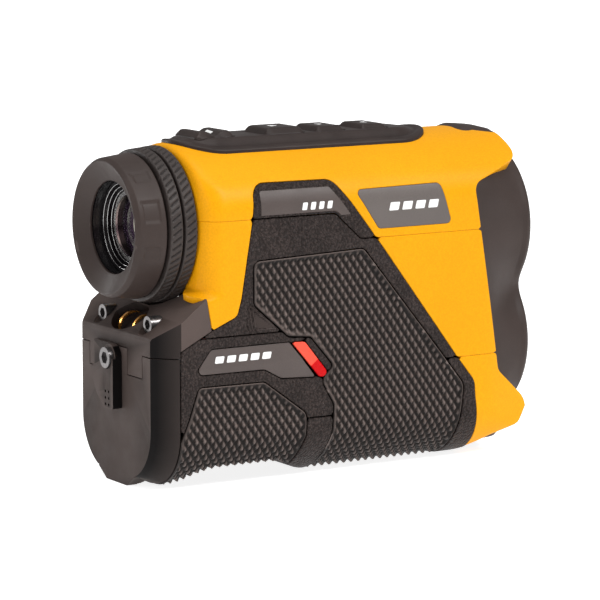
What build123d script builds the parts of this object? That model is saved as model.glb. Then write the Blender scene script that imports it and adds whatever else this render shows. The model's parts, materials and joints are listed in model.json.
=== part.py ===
from build123d import *
import math
import os

# Handheld laser rangefinder monocular, in millimetres.
# +X runs forward along the optical axis, +Y to the left, +Z up.
# The origin is under the middle of the bounding box, on the surface it stands on.

# --- Housing: a rounded section, cut to its side outline ---
HALF_WIDTH = 25.0
BELLY_Z = 0.4
CROWN_RADIUS = 30.0
CROWN_CENTRE_Z = 60.3
TOP_CORNER_RADIUS = 14.0
BOTTOM_CORNER_RADIUS = 16.0
WALL = 1.8
REAR_X = -52.0
SHELL_REAR_X = -44.2
SHELL_FRONT_X = 60.8
UPPER_HORN_X = 57.8
SHOULDER_RADIUS = 6.5
SHOULDER_Z = 51.6
SEAM_GAP = 0.15

# --- Overmoulded grips and inlays: how far they stand out of the shell ---
GRIP_DEPTH = 0.8
GRIP_PROUD = 0.15
PAD_PROUD = 0.4
INLAY_DEPTH = 0.5

# --- Front bezel and its two lenses ---
BEZEL_FRONT_X = 61.5
BEZEL_REAR_X = 39.0
BEZEL_INSET = 0.25
BEZEL_MIDDLE_Z = 46.0
CROWN_SWELL = 1.2
BEZEL_WALL = 3.0
UPPER_LOBE = (64.0, 22.5)
LOWER_LOBE = (30.0, 20.5)
OBJECTIVE_Z = 63.0
OBJECTIVE_R = 12.5
RECEIVER_Z = 30.0
RECEIVER_R = 10.8
LENS_RECESS = 3.2

# --- Eyepiece, on the axis Y = 0 ---
EYE_Z = 68.7
EYECUP_REAR_X = -61.5
EYECUP_R = 18.5
TUBE_R = 15.0
TUBE_BORE_R = 12.6
TUBE_END_X = -57.8
SLEEVE_R = 16.6
EYECUP_RING_R = 20.6
DIOPTER_RING_R = 21.0
RING_CLEARANCE = 0.2

# --- Battery door, its hinge pin and its latch ---
DOOR_X = -58.0
DOOR_TOP_Z = 36.0
DOOR_GAP = 0.3
TONGUE_HALF = 14.5
TONGUE_Z = 30.2
TAB_HALF = 6.3
TAB_TOP_Z = 37.0
PIN_X = -55.0
PIN_Z = 2.5
PIN_R = 1.0
PIN_CLEARANCE = 0.05
PIN_HALF = 7.0
KNUCKLE_HALF = 9.6
KNUCKLE_R = 2.3
EAR_HALF = 3.0
EAR_R = 1.9
FOOT_HALF = 5.6
FOOT_SHOULDER = (10.0, 2.9)
FOOT_TOP_Z = 7.0
DOOR_CORNER = (10.6, 3.3)
DOOR_CORNER_CENTRE_Y = 4.585
SWING_R = 2.6
LIP_INNER_Y = 8.2
LEAF_Y = 3.7
LEAF_WIDTH = 0.9
LATCH_Z = 34.0
LATCH_HUB_R = 3.6
LATCH_X = -58.2

# --- Rear block ---
BLOCK_SCREW_Y = 12.5
BLOCK_SCREW_Z = 44.0
BLOCK_SCREW_R = 1.25

# --- Keypad ---
KEYPAD_X = (-42.0, 37.5)
KEYPAD_HALF = 12.0
KEYPAD_PROUD = 0.9
ISLAND_X = (-39.8, 33.5)
ISLAND_HALF = 8.4
ISLAND_TOP_Z = 91.7
BUTTON_GAP = 0.25
BUTTON_TRAVEL = 0.8
BUTTON_HALF = 6.6
BUTTON_CORNER = 2.0
BUTTON_CHAMFER = 0.9
BUTTON_BASE_Z = 89.2
BUTTON_STEM_R = 2.2
BUTTONS = {
    "power_button": (-36.5, -24.5, 93.3),
    "mode_button": (-15.5, -2.5, 93.3),
    "up_button": (0.6, 10.4, 93.0),
    "down_button": (15.0, 24.4, 92.8),
}
BOARD_TOP_Z = 86.0
DOME_HEIGHT = 0.8

# --- Batteries: two cells, side by side ---
CELL_R = 7.15
CELL_BORE_R = 7.35
CELL_Y = 7.9
CELL_Z = 17.2
CELL_X = (-51.2, -1.7)
HOLDER_X = (-51.8, 4.0)
HOLDER_HALF = 16.0
HOLDER_Z = (8.9, 25.5)

# --- Tripod socket, 1/4-20 UNC, at its minor radius ---
SOCKET_X = 14.0
SOCKET_BORE_R = 2.6
SOCKET_BODY_R = 4.6
SOCKET_DEPTH = 8.0

# --- Optical chassis ---
CHASSIS_Z = 50.0
CHASSIS_THICKNESS = 2.2
CHASSIS_X = (-36.0, 30.5)
CHASSIS_HALF = 20.0
CHASSIS_SCREWS = [(x, y) for x in (-27.0, 21.0) for y in (-19.0, 19.0)]


# ------------------------------------------------------------------ helpers

def outline(points):
    """A closed face from (x, y, corner radius) points."""
    path = FilletPolyline(*[(x, y) for x, y, r in points], radius=[r for x, y, r in points], close=True)
    return make_face(path)


def side_prism(points, y0=-40.0, y1=40.0, grow=0.0):
    """An outline in X and Z, carried across from y0 to y1."""
    face = outline(points)
    if grow:
        face = offset(face, amount=grow, kind=Kind.INTERSECTION)
    return Pos(0, y1, 0) * extrude(Plane.XZ * face, amount=y1 - y0)


def plan_prism(points, z0, z1, grow=0.0):
    """An outline in X and Y, carried up from z0 to z1."""
    face = outline(points)
    if grow:
        face = offset(face, amount=grow, kind=Kind.INTERSECTION)
    return Pos(0, 0, z0) * extrude(face, amount=z1 - z0)


def box(x0, x1, y0, y1, z0, z1):
    return Pos((x0 + x1) / 2, (y0 + y1) / 2, (z0 + z1) / 2) * Box(x1 - x0, y1 - y0, z1 - z0)


def x_cylinder(x0, x1, radius, y=0.0, z=0.0):
    return Pos((x0 + x1) / 2, y, z) * Rot(0, 90, 0) * Cylinder(radius, x1 - x0)


def x_cone(x0, x1, r0, r1, y=0.0, z=0.0):
    """A cone with radius r0 at x0 and r1 at x1."""
    return Pos((x0 + x1) / 2, y, z) * Rot(0, 90, 0) * Cone(r0, r1, x1 - x0)


def x_tube(x0, x1, outer, inner, y=0.0, z=0.0):
    return x_cylinder(x0, x1, outer, y, z) - x_cylinder(x0 - 1, x1 + 1, inner, y, z)


def y_cylinder(y0, y1, radius, x, z):
    return Pos(x, (y0 + y1) / 2, z) * Rot(90, 0, 0) * Cylinder(radius, y1 - y0)


def z_cylinder(z0, z1, radius, x, y):
    return Pos(x, y, (z0 + z1) / 2) * Cylinder(radius, z1 - z0)


def hex_socket(x0, x1, across, y, z):
    """A hexagonal socket along X."""
    shape = RegularPolygon(across / 2, 6, major_radius=False)
    return Pos(x0, y, z) * extrude(Plane.YZ * shape, amount=x1 - x0)


def stadium(x0, x1, half, z0, z1):
    return Pos((x0 + x1) / 2, 0, z0) * extrude(SlotOverall(x1 - x0, 2 * half), amount=z1 - z0)


def in_y(solid):
    """The same piece on the other side."""
    return mirror(solid, about=Plane.XZ)


# ------------------------------------------------------------------ housing

def section(grow=0.0):
    """The housing's cross-section: upright sides, an arched crown and a flat belly."""
    half = HALF_WIDTH + grow
    crown = CROWN_RADIUS + grow
    belly = BELLY_Z - grow
    corner_z = CROWN_CENTRE_Z + math.sqrt(crown**2 - half**2)
    sides = Polyline((half, corner_z), (half, belly), (-half, belly), (-half, corner_z))
    arch = ThreePointArc((-half, corner_z), (0, CROWN_CENTRE_Z + crown), (half, corner_z))
    face = make_face(sides.edges() + arch.edges())
    face = fillet([v for v in face.vertices() if v.Y > CROWN_CENTRE_Z], TOP_CORNER_RADIUS + grow)
    return fillet([v for v in face.vertices() if v.Y < belly + 1], BOTTOM_CORNER_RADIUS + grow)


def section_prism(x0, x1, grow=0.0):
    return Pos(x0, 0, 0) * extrude(Plane.YZ * section(grow), amount=x1 - x0)


SIDE_OUTLINE = [
    (REAR_X, BELLY_Z, 0),
    (-50.0, BELLY_Z, 2),
    (-42.0, 5.4, 12),
    (-20.0, 5.4, 12),
    (-8.0, BELLY_Z, 10),
    (41.0, BELLY_Z, 8),
    (49.0, 5.4, 6),
    (57.5, 8.4, 4),
    (SHELL_FRONT_X, 14.0, 3),
    (SHELL_FRONT_X, 50.0, 1),
    (UPPER_HORN_X, 56.0, 1),
    (UPPER_HORN_X, 90.8, 3),
    (SHELL_REAR_X, 90.8, 0),
    (SHELL_REAR_X, SHOULDER_Z, 0),
    (-42.6, 42.9, 0),
    (REAR_X, 38.0, 0),
]


BELLY_OUTLINE = [
    (-80.0, BELLY_Z, 0),
    *SIDE_OUTLINE[1:8],
    (80.0, 20.0, 0),
    (80.0, 120.0, 0),
    (-80.0, 120.0, 0),
]


def flank_solid(grow=0.0):
    """The housing's flanks and belly, with no ends."""
    return section_prism(-70, 70, grow) & side_prism(BELLY_OUTLINE, grow=grow)


def flank_skin(depth, proud):
    return flank_solid(proud) - flank_solid(-depth)


def plan_shape(grow=0.0):
    """Rounded shoulders behind, above the rear block, and a front that narrows."""
    half = HALF_WIDTH + 1.0
    rear = SHELL_REAR_X - grow
    edge = HALF_WIDTH + grow
    front = SHELL_FRONT_X + grow
    upper = plan_prism(
        [
            (rear, -edge, SHOULDER_RADIUS + grow),
            (45.0, -edge, 30),
            (front, -21.5, 4),
            (front, 21.5, 4),
            (45.0, edge, 30),
            (rear, edge, SHOULDER_RADIUS + grow),
        ],
        SHOULDER_Z, 100,
    )
    lower = plan_prism(
        [
            (REAR_X - 5, -half, 0),
            (45.0, -half, 30),
            (front, -22.5, 4),
            (front, 22.5, 4),
            (45.0, half, 30),
            (REAR_X - 5, half, 0),
        ],
        -5, SHOULDER_Z,
    )
    return upper + lower


def housing_solid(grow=0.0):
    """The outside of the whole housing, grown or shrunk."""
    body = section_prism(REAR_X - 2, SHELL_FRONT_X + 2, grow)
    return body & side_prism(SIDE_OUTLINE, grow=grow) & plan_shape(grow)


FRONT_SIDE = [
    (40.6, 76.6, 3),
    (53.5, 81.4, 2),
    (80.0, 90.0, 0),
    (80.0, 6.0, 0),
    (57.5, 17.3, 3),
    (49.3, 24.3, 3),
]

FRONT_CROWN = [
    (80.0, -12.0, 0),
    (UPPER_HORN_X, -9.4, 1.5),
    (54.0, -7.9, 5),
    (50.6, -6.0, 2),
    (48.9, -1.6, 1.5),
    (48.9, 1.6, 1.5),
    (50.6, 6.0, 2),
    (54.0, 7.9, 5),
    (UPPER_HORN_X, 9.4, 1.5),
    (80.0, 12.0, 0),
]

FRONT_BELLY = [
    (80.0, -22.0, 0),
    (58.0, -15.5, 6),
    (50.0, -12.0, 6),
    (42.3, -4.0, 5),
    (42.3, 4.0, 5),
    (50.0, 12.0, 6),
    (58.0, 15.5, 6),
    (80.0, 22.0, 0),
]


def front_opening(grow=0.0):
    """Where the shells stop and the front bezel shows: the sides, and a strip over the top and belly."""
    sides = side_prism(FRONT_SIDE, grow=grow)
    crown = plan_prism(FRONT_CROWN, BEZEL_MIDDLE_Z, 100, grow=grow)
    belly = plan_prism(FRONT_BELLY, -5, BEZEL_MIDDLE_Z, grow=grow)
    return sides + crown + belly


def bezel_radius(angle, blend):
    """Distance from the bezel's middle to its rim: blend 0 is the housing's section, 1 the two lobes."""
    middle_z = BEZEL_MIDDLE_Z
    across, up = math.cos(angle), math.sin(angle)

    def circle_exit(centre_z, radius):
        along = (centre_z - middle_z) * up
        return along + math.sqrt(along**2 - (centre_z - middle_z) ** 2 + radius**2)

    lobes = (circle_exit(*UPPER_LOBE) ** 6 + circle_exit(*LOWER_LOBE) ** 6) ** (1 / 6)
    reach_up = CROWN_CENTRE_Z + CROWN_RADIUS + CROWN_SWELL - middle_z
    height, power = (reach_up, 3.5) if up > 0 else (middle_z - BELLY_Z, 5.0)
    square = (abs(across / HALF_WIDTH) ** power + abs(up / height) ** power) ** (-1 / power)
    return (1 - blend) * square + blend * lobes


def bezel_loft(shrink=0.0):
    """From the housing's section to a figure of eight around the two lenses."""
    stations = [
        (BEZEL_REAR_X, 0.0),
        (45.0, 0.08),
        (50.0, 0.40),
        (55.0, 0.76),
        (BEZEL_FRONT_X, 1.0),
    ]
    faces = []
    for x, blend in stations:
        rim = []
        for step in range(25):
            angle = math.pi / 2 - math.pi * step / 24
            reach = bezel_radius(angle, blend) - shrink
            rim.append((x, reach * math.cos(angle), BEZEL_MIDDLE_Z + reach * math.sin(angle)))
        rim[0] = (x, 0.0, rim[0][2])
        rim[-1] = (x, 0.0, rim[-1][2])
        curve = Spline(*rim, tangents=((0, 1, 0), (0, -1, 0)))
        faces.append(make_face(curve.edges() + Line(rim[-1], rim[0]).edges()))
    half = loft(faces)
    return half + in_y(half)


UPPER_REGION = [
    (-70, 71.5, 0),
    (-4.4, 71.5, 2),
    (3.4, 64.2, 2),
    (90, 64.2, 0),
    (90, 120, 0),
    (-70, 120, 0),
]

LOWER_REGION = [
    (-70, 41.0, 0),
    (-20.0, 41.0, 2),
    (-10.0, 40.0, 2),
    (-2.5, 29.3, 2),
    (90, 29.3, 0),
    (90, -20, 0),
    (-70, -20, 0),
]

GRIP_OUTLINE = [
    (REAR_X, -5.0, 0),
    (44.2, -5.0, 0),
    (41.0, 17.9, 4),
    (40.7, 22.2, 4),
    (35.1, 29.1, 4),
    (11.1, 60.7, 4),
    (-4.6, 80.5, 4),
    (-29.0, 80.7, 4),
    (-30.4, 69.8, 4),
    (-33.6, 50.6, 3),
    (-34.9, 46.1, 2),
    (-42.6, 42.9, 0),
    (REAR_X, 38.0, 0),
]

MAIN_PAD = [
    (-29.9, 60.2, 2),
    (4.4, 61.4, 2),
    (29.9, 30.6, 3),
    (37.2, 21.5, 4),
    (35.3, 5.0, 3),
    (34.5, -5.0, 0),
    (-9.0, -5.0, 0),
    (-5.2, 12.0, 3),
    (-4.9, 20.0, 3),
    (-8.8, 26.7, 2),
    (-5.0, 30.5, 1.5),
    (-12.3, 38.9, 1.5),
    (-19.3, 39.6, 2),
    (-29.8, 48.8, 2),
]

REAR_PAD = [
    (-46.6, 28.0, 1.5),
    (-26.7, 27.8, 2),
    (-13.6, 18.2, 3),
    (-13.6, 12.0, 3),
    (-18.5, -5.0, 0),
    (-60.0, -5.0, 0),
    (-49.4, 20.0, 3),
]

BADGE = [
    (-46.9, 33.0, 1.2),
    (-43.0, 38.0, 1.6),
    (-19.0, 38.0, 0.4),
    (-10.4, 27.8, 0.4),
    (-21.4, 28.4, 2),
    (-26.7, 31.3, 3),
    (-46.4, 31.4, 1.4),
]

ACCENT = [
    (-18.4, 38.0, 0.4),
    (-14.2, 37.8, 1),
    (-6.9, 28.9, 1),
    (-8.2, 27.7, 0.6),
    (-9.6, 27.8, 0.4),
]

NAME_PLATE = [
    (1.8, 77.4, 1.2),
    (29.4, 77.8, 1.6),
    (32.9, 66.5, 1.2),
    (9.2, 66.5, 1.4),
]


def right_piece(points, depth, proud, edge_y=-6.0):
    """A skin on the right flank, between two grown copies of the housing."""
    return flank_skin(depth, proud) & side_prism(points, -40, edge_y)


def grip_skin():
    """The rubber over both flanks and under the belly, with the inlays cut out."""
    skin = flank_skin(GRIP_DEPTH, GRIP_PROUD) & side_prism(GRIP_OUTLINE)
    for points in (MAIN_PAD, REAR_PAD):
        pocket = side_prism(points, -40, -6, grow=0.25)
        skin = skin - pocket - in_y(pocket)
    for points in (BADGE, ACCENT):
        pocket = side_prism(points, -40, -6)
        skin = skin - pocket - in_y(pocket)
    socket = z_cylinder(-5, 12, SOCKET_BODY_R + 0.9, SOCKET_X, 0)
    crown = box(-60, 60, -13, 13, 70, 100)
    return skin - socket - crown - front_opening()


def grips():
    skin = grip_skin()
    upper = skin & side_prism(UPPER_REGION, grow=-SEAM_GAP / 2)
    lower = skin & side_prism(LOWER_REGION, grow=-SEAM_GAP / 2)
    main = skin - side_prism(UPPER_REGION, grow=SEAM_GAP / 2) - side_prism(LOWER_REGION, grow=SEAM_GAP / 2)
    right = box(-100, 100, -50, 0, -10, 100)
    left = in_y(right)
    return {
        "upper_grip_right": upper & right,
        "upper_grip_left": upper & left,
        "main_grip_right": main & right,
        "main_grip_left": main & left,
        "lower_grip": lower,
    }


def pads():
    """The knurled rubber inserts, the badges, their accent bars and the name plates."""
    pieces = {}
    shapes = {
        "main_pad": (MAIN_PAD, GRIP_DEPTH, PAD_PROUD),
        "rear_pad": (REAR_PAD, GRIP_DEPTH, PAD_PROUD),
        "badge": (BADGE, GRIP_DEPTH, 0.3),
        "accent": (ACCENT, GRIP_DEPTH, 0.3),
        "name_plate": (NAME_PLATE, INLAY_DEPTH, 0.1),
    }
    keep = box(REAR_X, 60, -40, 0, -10, 100)
    for name, (points, depth, proud) in shapes.items():
        right = right_piece(points, depth, proud) & keep
        pieces[name + "_right"] = right
        pieces[name + "_left"] = in_y(right)
    return pieces


def shell_stock(bezel):
    """All three shells as one piece, before the seams."""
    hollow = housing_solid(-WALL) & section_prism(-60, 47.0, -WALL)
    shell = housing_solid() - hollow - front_opening()
    shell = shell - (bezel & section_prism(46.0, 70, -WALL))
    crown = box(-60, 60, -13, 13, 70, 100)
    shell = shell - ((flank_skin(GRIP_DEPTH, 2.0) & side_prism(GRIP_OUTLINE)) - crown)
    recess = right_piece(NAME_PLATE, INLAY_DEPTH, 1.0)
    return shell - recess - in_y(recess)


def keypad_cuts(shell):
    """A recess for the keypad surround, and the hole under its buttons."""
    recess = stadium(*KEYPAD_X, KEYPAD_HALF, 60, 100) & (section_prism(-60, 60, 4) - section_prism(-60, 60, -0.7))
    through = stadium(ISLAND_X[0] + 0.6, ISLAND_X[1] - 0.6, ISLAND_HALF - 0.3, 70, 100)
    return shell - recess - through


def shells(bezel):
    shell = keypad_cuts(shell_stock(bezel))
    shell = shell - x_cylinder(-60, -40, TUBE_R, z=EYE_Z)
    upper = shell & side_prism(UPPER_REGION, grow=-SEAM_GAP / 2)
    lower = shell & side_prism(LOWER_REGION, grow=-SEAM_GAP / 2)
    main = shell - side_prism(UPPER_REGION, grow=SEAM_GAP / 2) - side_prism(LOWER_REGION, grow=SEAM_GAP / 2)
    return {
        "upper_housing": upper,
        "main_housing": finish_main(main),
        "lower_housing": finish_lower(lower),
    }


def finish_main(main):
    """Ledges for the chassis, and bosses for the rear block's screws."""
    inside = housing_solid(-WALL / 2)
    for x, y in CHASSIS_SCREWS:
        side = math.copysign(1, y)
        ledge = Pos(x, y + side * 1.2, CHASSIS_Z - 3) * Box(6, 6.4, 6)
        main = main + (ledge & inside)
        main = main - z_cylinder(CHASSIS_Z - 6, CHASSIS_Z + 1, 0.9, x, y)
    for y in (-BLOCK_SCREW_Y, BLOCK_SCREW_Y):
        main = main + x_cylinder(-41.8, -36, 2.8, y, BLOCK_SCREW_Z)
        main = main - x_cylinder(-48, -39.5, BLOCK_SCREW_R, y, BLOCK_SCREW_Z)
    return main


def hinge_ear():
    """The fixed ear in the middle, between the door's knuckles."""
    ear = y_cylinder(-EAR_HALF, EAR_HALF, EAR_R, PIN_X, PIN_Z)
    ear = ear + box(PIN_X, REAR_X + 1.0, -EAR_HALF, EAR_HALF, PIN_Z - 1.2, PIN_Z + EAR_R)
    return ear - y_cylinder(-20, 20, PIN_R, PIN_X, PIN_Z)


def door_lip():
    """The housing's lower edge, hollowed round the door's knuckles."""
    lip = door_hull() & box(PIN_X + 1.0, REAR_X + 0.1, -30, 30, -1, PIN_Z - 0.8)
    lip = lip - y_cylinder(-30, 30, SWING_R + DOOR_GAP, PIN_X, PIN_Z)
    return lip - box(PIN_X, REAR_X + 0.1, -LIP_INNER_Y, LIP_INNER_Y, -1, PIN_Z)


def finish_lower(lower):
    """The battery opening, the door's hinge ear and lip, and the tripod boss."""
    lower = lower - box(-60, -48, -HOLDER_HALF, HOLDER_HALF, *HOLDER_Z)
    lower = lower + door_lip() + hinge_ear()
    lower = lower + z_cylinder(BELLY_Z + 1.0, SOCKET_DEPTH + 1.2, SOCKET_BODY_R + 2, SOCKET_X, 0)
    return lower - z_cylinder(-5, 30, SOCKET_BODY_R, SOCKET_X, 0)


# ------------------------------------------------------------------ front

def front_bezel(bezel):
    """The black front: a hollow cap with two lens bores."""
    shells_there = section_prism(30, 70, 3) - flank_solid(-WALL - 0.2)
    shells_there = shells_there - front_opening(-SEAM_GAP)
    cap = (bezel & section_prism(30, 70, -BEZEL_INSET)) - shells_there
    cap = cap & side_prism(BELLY_OUTLINE, grow=CROWN_SWELL)
    cap = cap - (bezel_loft(BEZEL_WALL) & box(30, 56.5, -30, 30, -5, 100))
    for z, radius in ((OBJECTIVE_Z, OBJECTIVE_R), (RECEIVER_Z, RECEIVER_R)):
        cap = cap - x_cylinder(50, 70, radius, z=z)
        cap = cap - x_cone(BEZEL_FRONT_X - 2.0, BEZEL_FRONT_X + 0.1, radius, radius + 1.6, z=z)
    return cap


def lens_cell(z, radius, x0):
    """A tube from the chassis to the bezel, with a seat for its lens."""
    face = BEZEL_FRONT_X - LENS_RECESS
    cell = x_tube(x0, face, radius, radius - 2.4, z=z)
    return cell - x_cylinder(face - 4.0, face + 1, radius - 1.0, z=z)


def lens(z, radius):
    """A biconvex lens in its seat, its crown level with the cell's face."""
    face = BEZEL_FRONT_X - LENS_RECESS
    disc = x_cylinder(face - 3.6, face, radius - 1.0, z=z)
    ball = Pos(face - 40, 0, z) * Sphere(40)
    return disc & ball


# ------------------------------------------------------------------ eyepiece

def eyepiece_tube():
    tube = x_cylinder(TUBE_END_X, -38.0, TUBE_R, z=EYE_Z)
    tube = tube + x_cylinder(SHELL_REAR_X + WALL, -40.9, 17.0, z=EYE_Z)
    return tube - x_cylinder(-70, -30, TUBE_BORE_R, z=EYE_Z)


def eyecup():
    """A soft cup with a funnel face, and a sleeve that slides on the tube."""
    cup = x_cone(EYECUP_REAR_X + 1.5, -52.6, EYECUP_R, EYECUP_R + 1.0, z=EYE_Z)
    cup = cup + x_cone(EYECUP_REAR_X, EYECUP_REAR_X + 1.5, EYECUP_R - 0.8, EYECUP_R, z=EYE_Z)
    cup = cup + x_cylinder(-52.6, -48.8, SLEEVE_R, z=EYE_Z)
    cup = cup - x_cone(EYECUP_REAR_X - 0.01, -58.6, EYECUP_R - 1.4, 12.4, z=EYE_Z)
    cup = cup - x_cylinder(-59, -57, 12.4, z=EYE_Z)
    return cup - x_cylinder(-58.2, -40, TUBE_R + RING_CLEARANCE, z=EYE_Z)


def eyecup_ring():
    return x_tube(-52.3, -48.5, EYECUP_RING_R, SLEEVE_R + RING_CLEARANCE, z=EYE_Z)


def diopter_ring():
    return x_tube(-48.2, -44.5, DIOPTER_RING_R, TUBE_R + RING_CLEARANCE, z=EYE_Z)


def ocular_cell():
    """The sliding barrel that holds the eye lens, with stepped baffles."""
    cell = x_cylinder(-55.2, -44.0, TUBE_BORE_R - RING_CLEARANCE, z=EYE_Z)
    for x0, radius in ((-56.0, 11.4), (-54.4, 10.6), (-53.6, 9.8)):
        cell = cell - x_cylinder(x0, -40, radius, z=EYE_Z)
    web = x_tube(-48.2, -46.6, TUBE_BORE_R - 1.0, 7.2, z=EYE_Z)
    seat = x_tube(-52.6, -44.0, TUBE_BORE_R - RING_CLEARANCE, 9.0, z=EYE_Z)
    return cell + web + seat


def ocular_lens():
    disc = x_cylinder(-52.2, -48.2, 9.0, z=EYE_Z)
    ball = Pos(-52.2 + 28, 0, EYE_Z) * Sphere(28)
    return disc & ball


def ocular_ring():
    """The bright retaining ring in front of the eye lens."""
    return x_tube(-53.2, -52.6, 9.6, 8.4, z=EYE_Z)


# ------------------------------------------------------------------ rear block and door

def rear_hull(shrink=0.0):
    """The rounded section, drawn in by 45 degrees over its last stretch."""
    straight = section_prism(REAR_X, -40, -shrink)
    nose = extrude(Plane.YZ * section(-shrink), amount=DOOR_X - REAR_X, taper=45)
    return straight + Pos(REAR_X, 0, 0) * nose


def door_hull(shrink=0.0):
    """The same section drawn in to a U, whose rounded corners come lower than the straight draw would."""
    faces = []
    for x, half, centre_y, bottom in (
        (DOOR_X, HALF_WIDTH - (REAR_X - DOOR_X), DOOR_CORNER_CENTRE_Y, DOOR_CORNER),
        (REAR_X, HALF_WIDTH, HALF_WIDTH - BOTTOM_CORNER_RADIUS, (HALF_WIDTH - BOTTOM_CORNER_RADIUS, BELLY_Z)),
    ):
        level = BELLY_Z + BOTTOM_CORNER_RADIUS
        radius = half - centre_y - shrink
        turn = math.acos((bottom[0] - centre_y) / (half - centre_y))
        middle = (centre_y + radius * math.cos(turn / 2), level - radius * math.sin(turn / 2))
        end = (centre_y + radius * math.cos(turn), level - radius * math.sin(turn))
        side = half - shrink
        right = ThreePointArc((x, side, level), (x, *middle), (x, *end))
        left = ThreePointArc((x, -end[0], end[1]), (x, -middle[0], middle[1]), (x, -side, level))
        base = Line((x, *end), (x, -end[0], end[1]))
        rest = Polyline((x, -side, level), (x, -side, 40), (x, side, 40), (x, side, level))
        faces.append(make_face(right.edges() + base.edges() + left.edges() + rest.edges()))
    return loft(faces, ruled=True)


BLOCK_SIDE = [
    (DOOR_X, DOOR_TOP_Z + DOOR_GAP, 0),
    (REAR_X - 0.2, DOOR_TOP_Z + DOOR_GAP, 0),
    (REAR_X - 0.2, 38.2, 0),
    (-42.9, 43.0, 0),
    (SHELL_REAR_X - 0.15, SHOULDER_Z - 0.1, 0),
    (DOOR_X, 41.0, 1.5),
]


def leaf_recess():
    """The lens-shaped pocket in the slope."""
    pocket = make_face(
        ThreePointArc((-8.0, 0), (0, 5.4), (8.0, 0)).edges() + ThreePointArc((-8.0, 0), (0, -5.4), (8.0, 0)).edges()
    )
    slope = math.degrees(math.atan2(SHOULDER_Z - 41.0, SHELL_REAR_X - DOOR_X))
    solid = Pos(0, 0, -3.4) * extrude(Rot(0, 0, 90) * pocket, amount=9)
    return Pos(-53.2, 0.6, 44.7) * Rot(0, -slope, 0) * solid


def rear_block():
    block = rear_hull() & side_prism(BLOCK_SIDE)
    prong = rear_hull() & box(DOOR_X - 1, DOOR_X + 1.7, TAB_HALF + DOOR_GAP, TONGUE_HALF, TONGUE_Z, DOOR_TOP_Z + 1)
    block = block + prong + in_y(prong)
    block = block - box(DOOR_X - 1, -54.2, -TAB_HALF - DOOR_GAP, TAB_HALF + DOOR_GAP, 30, TAB_TOP_Z + DOOR_GAP)
    block = block - x_cylinder(-54, -40, DIOPTER_RING_R + 0.5, z=EYE_Z)
    block = block - leaf_recess()
    for y in (-BLOCK_SCREW_Y, BLOCK_SCREW_Y):
        block = block - x_cylinder(-62, -51.5, 2.7, y, BLOCK_SCREW_Z)
        block = block - x_cylinder(-55, -40, BLOCK_SCREW_R + 0.1, y, BLOCK_SCREW_Z)
    return block


def block_screws():
    screws = []
    for y in (-BLOCK_SCREW_Y, BLOCK_SCREW_Y):
        screw = x_cylinder(-55.2, -51.5, 2.25, y, BLOCK_SCREW_Z)
        screw = screw + x_cylinder(-51.6, -40.0, BLOCK_SCREW_R, y, BLOCK_SCREW_Z)
        screws.append(screw - hex_socket(-56, -53.4, 2.5, y, BLOCK_SCREW_Z))
    return screws


def contact_leaves():
    """Two bowed gold strips in the recess."""
    leaves = []
    for y in (-LEAF_Y, LEAF_Y):
        top = ThreePointArc((-3.8, -3.0), (0, -0.8), (3.8, -3.0))
        bottom = ThreePointArc((-3.8, -3.5), (0, -1.4), (3.8, -3.5))
        ends = Line((-3.8, -3.0), (-3.8, -3.5)).edges() + Line((3.8, -3.0), (3.8, -3.5)).edges()
        strip = make_face(top.edges() + bottom.edges() + ends)
        slope = math.degrees(math.atan2(SHOULDER_Z - 41.0, SHELL_REAR_X - DOOR_X))
        solid = extrude(Plane.XZ * strip, amount=LEAF_WIDTH / 2, both=True)
        leaves.append(Pos(-53.2, 0.6 + y, 44.7) * Rot(0, -slope, 0) * Pos(0, 0, 0.3) * solid)
    return leaves


def battery_door():
    """A U-shaped cap on a bottom hinge, with a tab that carries the latch."""
    low = box(DOOR_X - 1, REAR_X - DOOR_GAP, -30, 30, -1, DOOR_TOP_Z)
    door = door_hull() & low
    door = door - (door_hull(WALL) & box(DOOR_X + WALL, REAR_X + 2, -30, 30, -1, DOOR_TOP_Z + 1))
    notch = box(DOOR_X - 1, REAR_X, TAB_HALF, TONGUE_HALF + DOOR_GAP, TONGUE_Z - DOOR_GAP, 60)
    door = door - notch - in_y(notch)
    door = door - box(DOOR_X - 1, REAR_X, -TAB_HALF, TAB_HALF, TONGUE_Z - DOOR_GAP, 60)
    tab = box(DOOR_X, -54.5, -TAB_HALF, TAB_HALF, TONGUE_Z - 3, TAB_TOP_Z)
    swing = box(PIN_X, REAR_X, -30, 30, -1, PIN_Z) - y_cylinder(-30, 30, SWING_R, PIN_X, PIN_Z)
    ear_space = box(DOOR_X + 0.9, REAR_X, -EAR_HALF - DOOR_GAP, EAR_HALF + DOOR_GAP, -1, PIN_Z + EAR_R + 0.8)
    door = (door - swing) + tab + door_foot() - ear_space
    door = door - y_cylinder(-PIN_HALF - 0.2, 20, PIN_R + PIN_CLEARANCE, PIN_X, PIN_Z)
    return door - x_cylinder(-60, -50, 1.5, z=LATCH_Z)


def door_foot():
    """A tapered foot that the door stands on, and the knuckles inside it."""
    shoulder_y, shoulder_z = FOOT_SHOULDER
    taper = Polyline(
        (-FOOT_HALF, 0), (FOOT_HALF, 0), (shoulder_y, shoulder_z), (shoulder_y, FOOT_TOP_Z),
        (-shoulder_y, FOOT_TOP_Z), (-shoulder_y, shoulder_z), close=True,
    )
    taper = Pos(DOOR_X, 0, 0) * extrude(Plane.YZ * make_face(taper), amount=REAR_X - DOOR_X)
    foot = box(DOOR_X, PIN_X, -shoulder_y, shoulder_y, 0, FOOT_TOP_Z)
    return (foot + y_cylinder(-KNUCKLE_HALF, KNUCKLE_HALF, KNUCKLE_R, PIN_X, PIN_Z)) & taper


def hinge_pin():
    return y_cylinder(-PIN_HALF, PIN_HALF, PIN_R, PIN_X, PIN_Z)


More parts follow.
